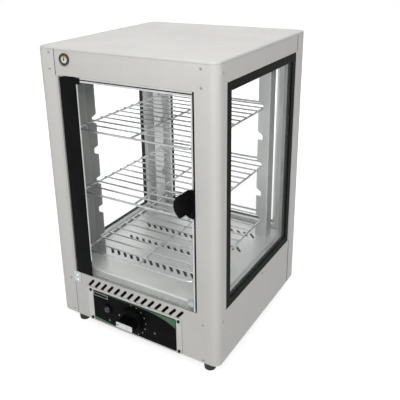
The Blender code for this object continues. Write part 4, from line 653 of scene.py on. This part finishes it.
DECK_PITCH, DECK_ROW_PITCH, DECK_ROW_Y, DECK_TOP = 0.0154, 0.0639, -0.0908, 0.1060
DECK_SLOT_L, DECK_SLOT_W, DECK_SLOT_TURN = 0.0196, 0.0035, math.radians(-45)
DECK_RIM, DECK_RIM_T = 0.0008, 0.00015
deck_centres = [(DECK_PITCH * (i - 7), DECK_ROW_Y + DECK_ROW_PITCH * row)
                for row in range(4) for i in range(15)]
deck_rims = slot_rims(
    deck_centres, DECK_SLOT_L, DECK_SLOT_W, DECK_SLOT_TURN, DECK_RIM, DECK_RIM_T)
add("deck_slot_rims", deck_rims, (0, BODY_Y, DECK_TOP + BODY_Z), UPRIGHT, DARK_PAINTED_SHADE)
AIR_X, AIR_Z, AIR_PITCH = -0.0959, 0.0812, 0.01510
AIR_SLOT_L, AIR_SLOT_W, AIR_SLOT_TURN, AIR_RIM = 0.0223, 0.0042, math.radians(49), 0.0005
air_centres = [(AIR_X + AIR_PITCH * i, AIR_Z) for i in range(14)]
air_rims = slot_rims(air_centres, AIR_SLOT_L, AIR_SLOT_W, AIR_SLOT_TURN, AIR_RIM, PRINT_T)
add("air_slot_rims", air_rims, (0, FRONT_Y, BODY_Z), FACE_FRONT, DARK_PAINTED_SHADE)


# Floor, light and camera.

def seen_directly(tree):
    """1 where the camera sees the surface, also through glass and in metal."""
    path = tree.nodes.new("ShaderNodeLightPath")
    value = path.outputs["Is Camera Ray"]
    for name in ("Is Transmission Ray", "Is Glossy Ray"):
        value = combined(tree, "MAXIMUM", value, path.outputs[name])
    return value


FLOOR_HALF = 6.0
GLOW_NEAR, GLOW_FAR, NEAR_RADIUS, FAR_RADIUS = 0.8, 1.0, 0.4, 1.2
DIFFUSE_WORLD, SEEN_WORLD = 0.265, 1.0


def stage():
    """A pale floor, whose glow grows with the distance from the case, and the world."""
    bm = bmesh.new()
    bmesh.ops.create_grid(bm, x_segments=1, y_segments=1, size=FLOOR_HALF)
    mesh = bpy.data.meshes.new("floor")
    bm.to_mesh(mesh)
    bm.free()
    floor = bpy.data.objects.new("floor", mesh)
    bpy.context.scene.collection.objects.link(floor)
    material, tree, shader = new_material("floor_pale")
    shader.inputs["Base Color"].default_value = (0.5, 0.5, 0.5, 1)
    shader.inputs["Roughness"].default_value = 0.9
    shader.inputs["Specular IOR Level"].default_value = 0.1
    place = tree.nodes.new("ShaderNodeTexCoord")
    far = tree.nodes.new("ShaderNodeVectorMath")
    far.operation = "LENGTH"
    tree.links.new(place.outputs["Object"], far.inputs[0])
    glow = spread(tree, far.outputs["Value"], GLOW_NEAR, GLOW_FAR, NEAR_RADIUS, FAR_RADIUS)
    lift = combined(tree, "MULTIPLY", seen_directly(tree), glow)
    shader.inputs["Emission Color"].default_value = (1, 1, 1, 1)
    tree.links.new(lift, shader.inputs["Emission Strength"])
    mesh.materials.append(material)

    world = bpy.data.worlds.new("studio")
    bpy.context.scene.world = world
    world.use_nodes = True
    tree = world.node_tree
    back = tree.nodes["Background"]
    back.inputs["Color"].default_value = (1, 1, 1, 1)
    level = tree.nodes.new("ShaderNodeMapRange")
    level.inputs["To Min"].default_value = DIFFUSE_WORLD
    level.inputs["To Max"].default_value = SEEN_WORLD
    tree.links.new(seen_directly(tree), level.inputs["Value"])
    tree.links.new(level.outputs["Result"], back.inputs["Strength"])


def area_light(name, place, target, size, power):
    """Places are in metres, the power in watts."""
    light = bpy.data.lights.new(name, "AREA")
    light.shape = "RECTANGLE"
    light.size, light.size_y = size
    light.energy = power
    obj = bpy.data.objects.new(name, light)
    obj.location = place
    obj.rotation_euler = (Vector(target) - Vector(place)).to_track_quat("-Z", "Y").to_euler()
    bpy.context.scene.collection.objects.link(obj)


CASE_W, SENSOR_W, FRAME_PIXELS = 2 * SIDE_X, 36, 400


def camera():
    """A view fitted to the photograph's edges of the case; its place is in widths of the case."""
    azimuth, elevation, roll = (math.radians(a) for a in (32.6163, 19.8101, -1.4944))
    place = Vector((1.55279, -2.46172, 1.93236)) * CASE_W + Vector((0, BODY_Y, BODY_Z))
    focal, centre_x, centre_y = 566.99, 176.71, 150.0
    back = Vector((
        math.sin(azimuth) * math.cos(elevation), -math.cos(azimuth) * math.cos(elevation),
        math.sin(elevation)))
    right = Vector((math.cos(azimuth), math.sin(azimuth), 0))
    up = back.cross(right)
    cos, sin = math.cos(roll), math.sin(roll)
    right, up = right * cos + up * sin, up * cos - right * sin
    data = bpy.data.cameras.new("camera")
    data.sensor_width = SENSOR_W
    data.lens = focal / FRAME_PIXELS * SENSOR_W
    data.shift_x = 0.5 - centre_x / FRAME_PIXELS
    data.shift_y = centre_y / FRAME_PIXELS - 0.5
    data.clip_end = 50
    obj = bpy.data.objects.new("camera", data)
    turn = Matrix((right, up, back)).transposed()
    obj.matrix_world = Matrix.Translation(place) @ turn.to_4x4()
    bpy.context.scene.collection.objects.link(obj)
    bpy.context.scene.camera = obj


stage()
area_light("key", (0.8, -1.3, 1.35), (0, 0, 0.35), (1.1, 0.9), 14)
area_light("near", (0.3, -0.95, 1.15), (0, 0, 0.4), (0.8, 0.6), 4)
area_light("top", (-0.1, 0.1, 2.3), (0, 0, 0.4), (1.8, 1.8), 9)
area_light("rear", (0.4, 2.0, 1.2), (0, 0, 0.3), (1.8, 1.2), 3)
area_light("low_rear", (-1.1, 1.7, 0.5), (0, 0, 0.3), (1.6, 0.7), 9)
camera()
bpy.context.scene.view_settings.view_transform = "Standard"
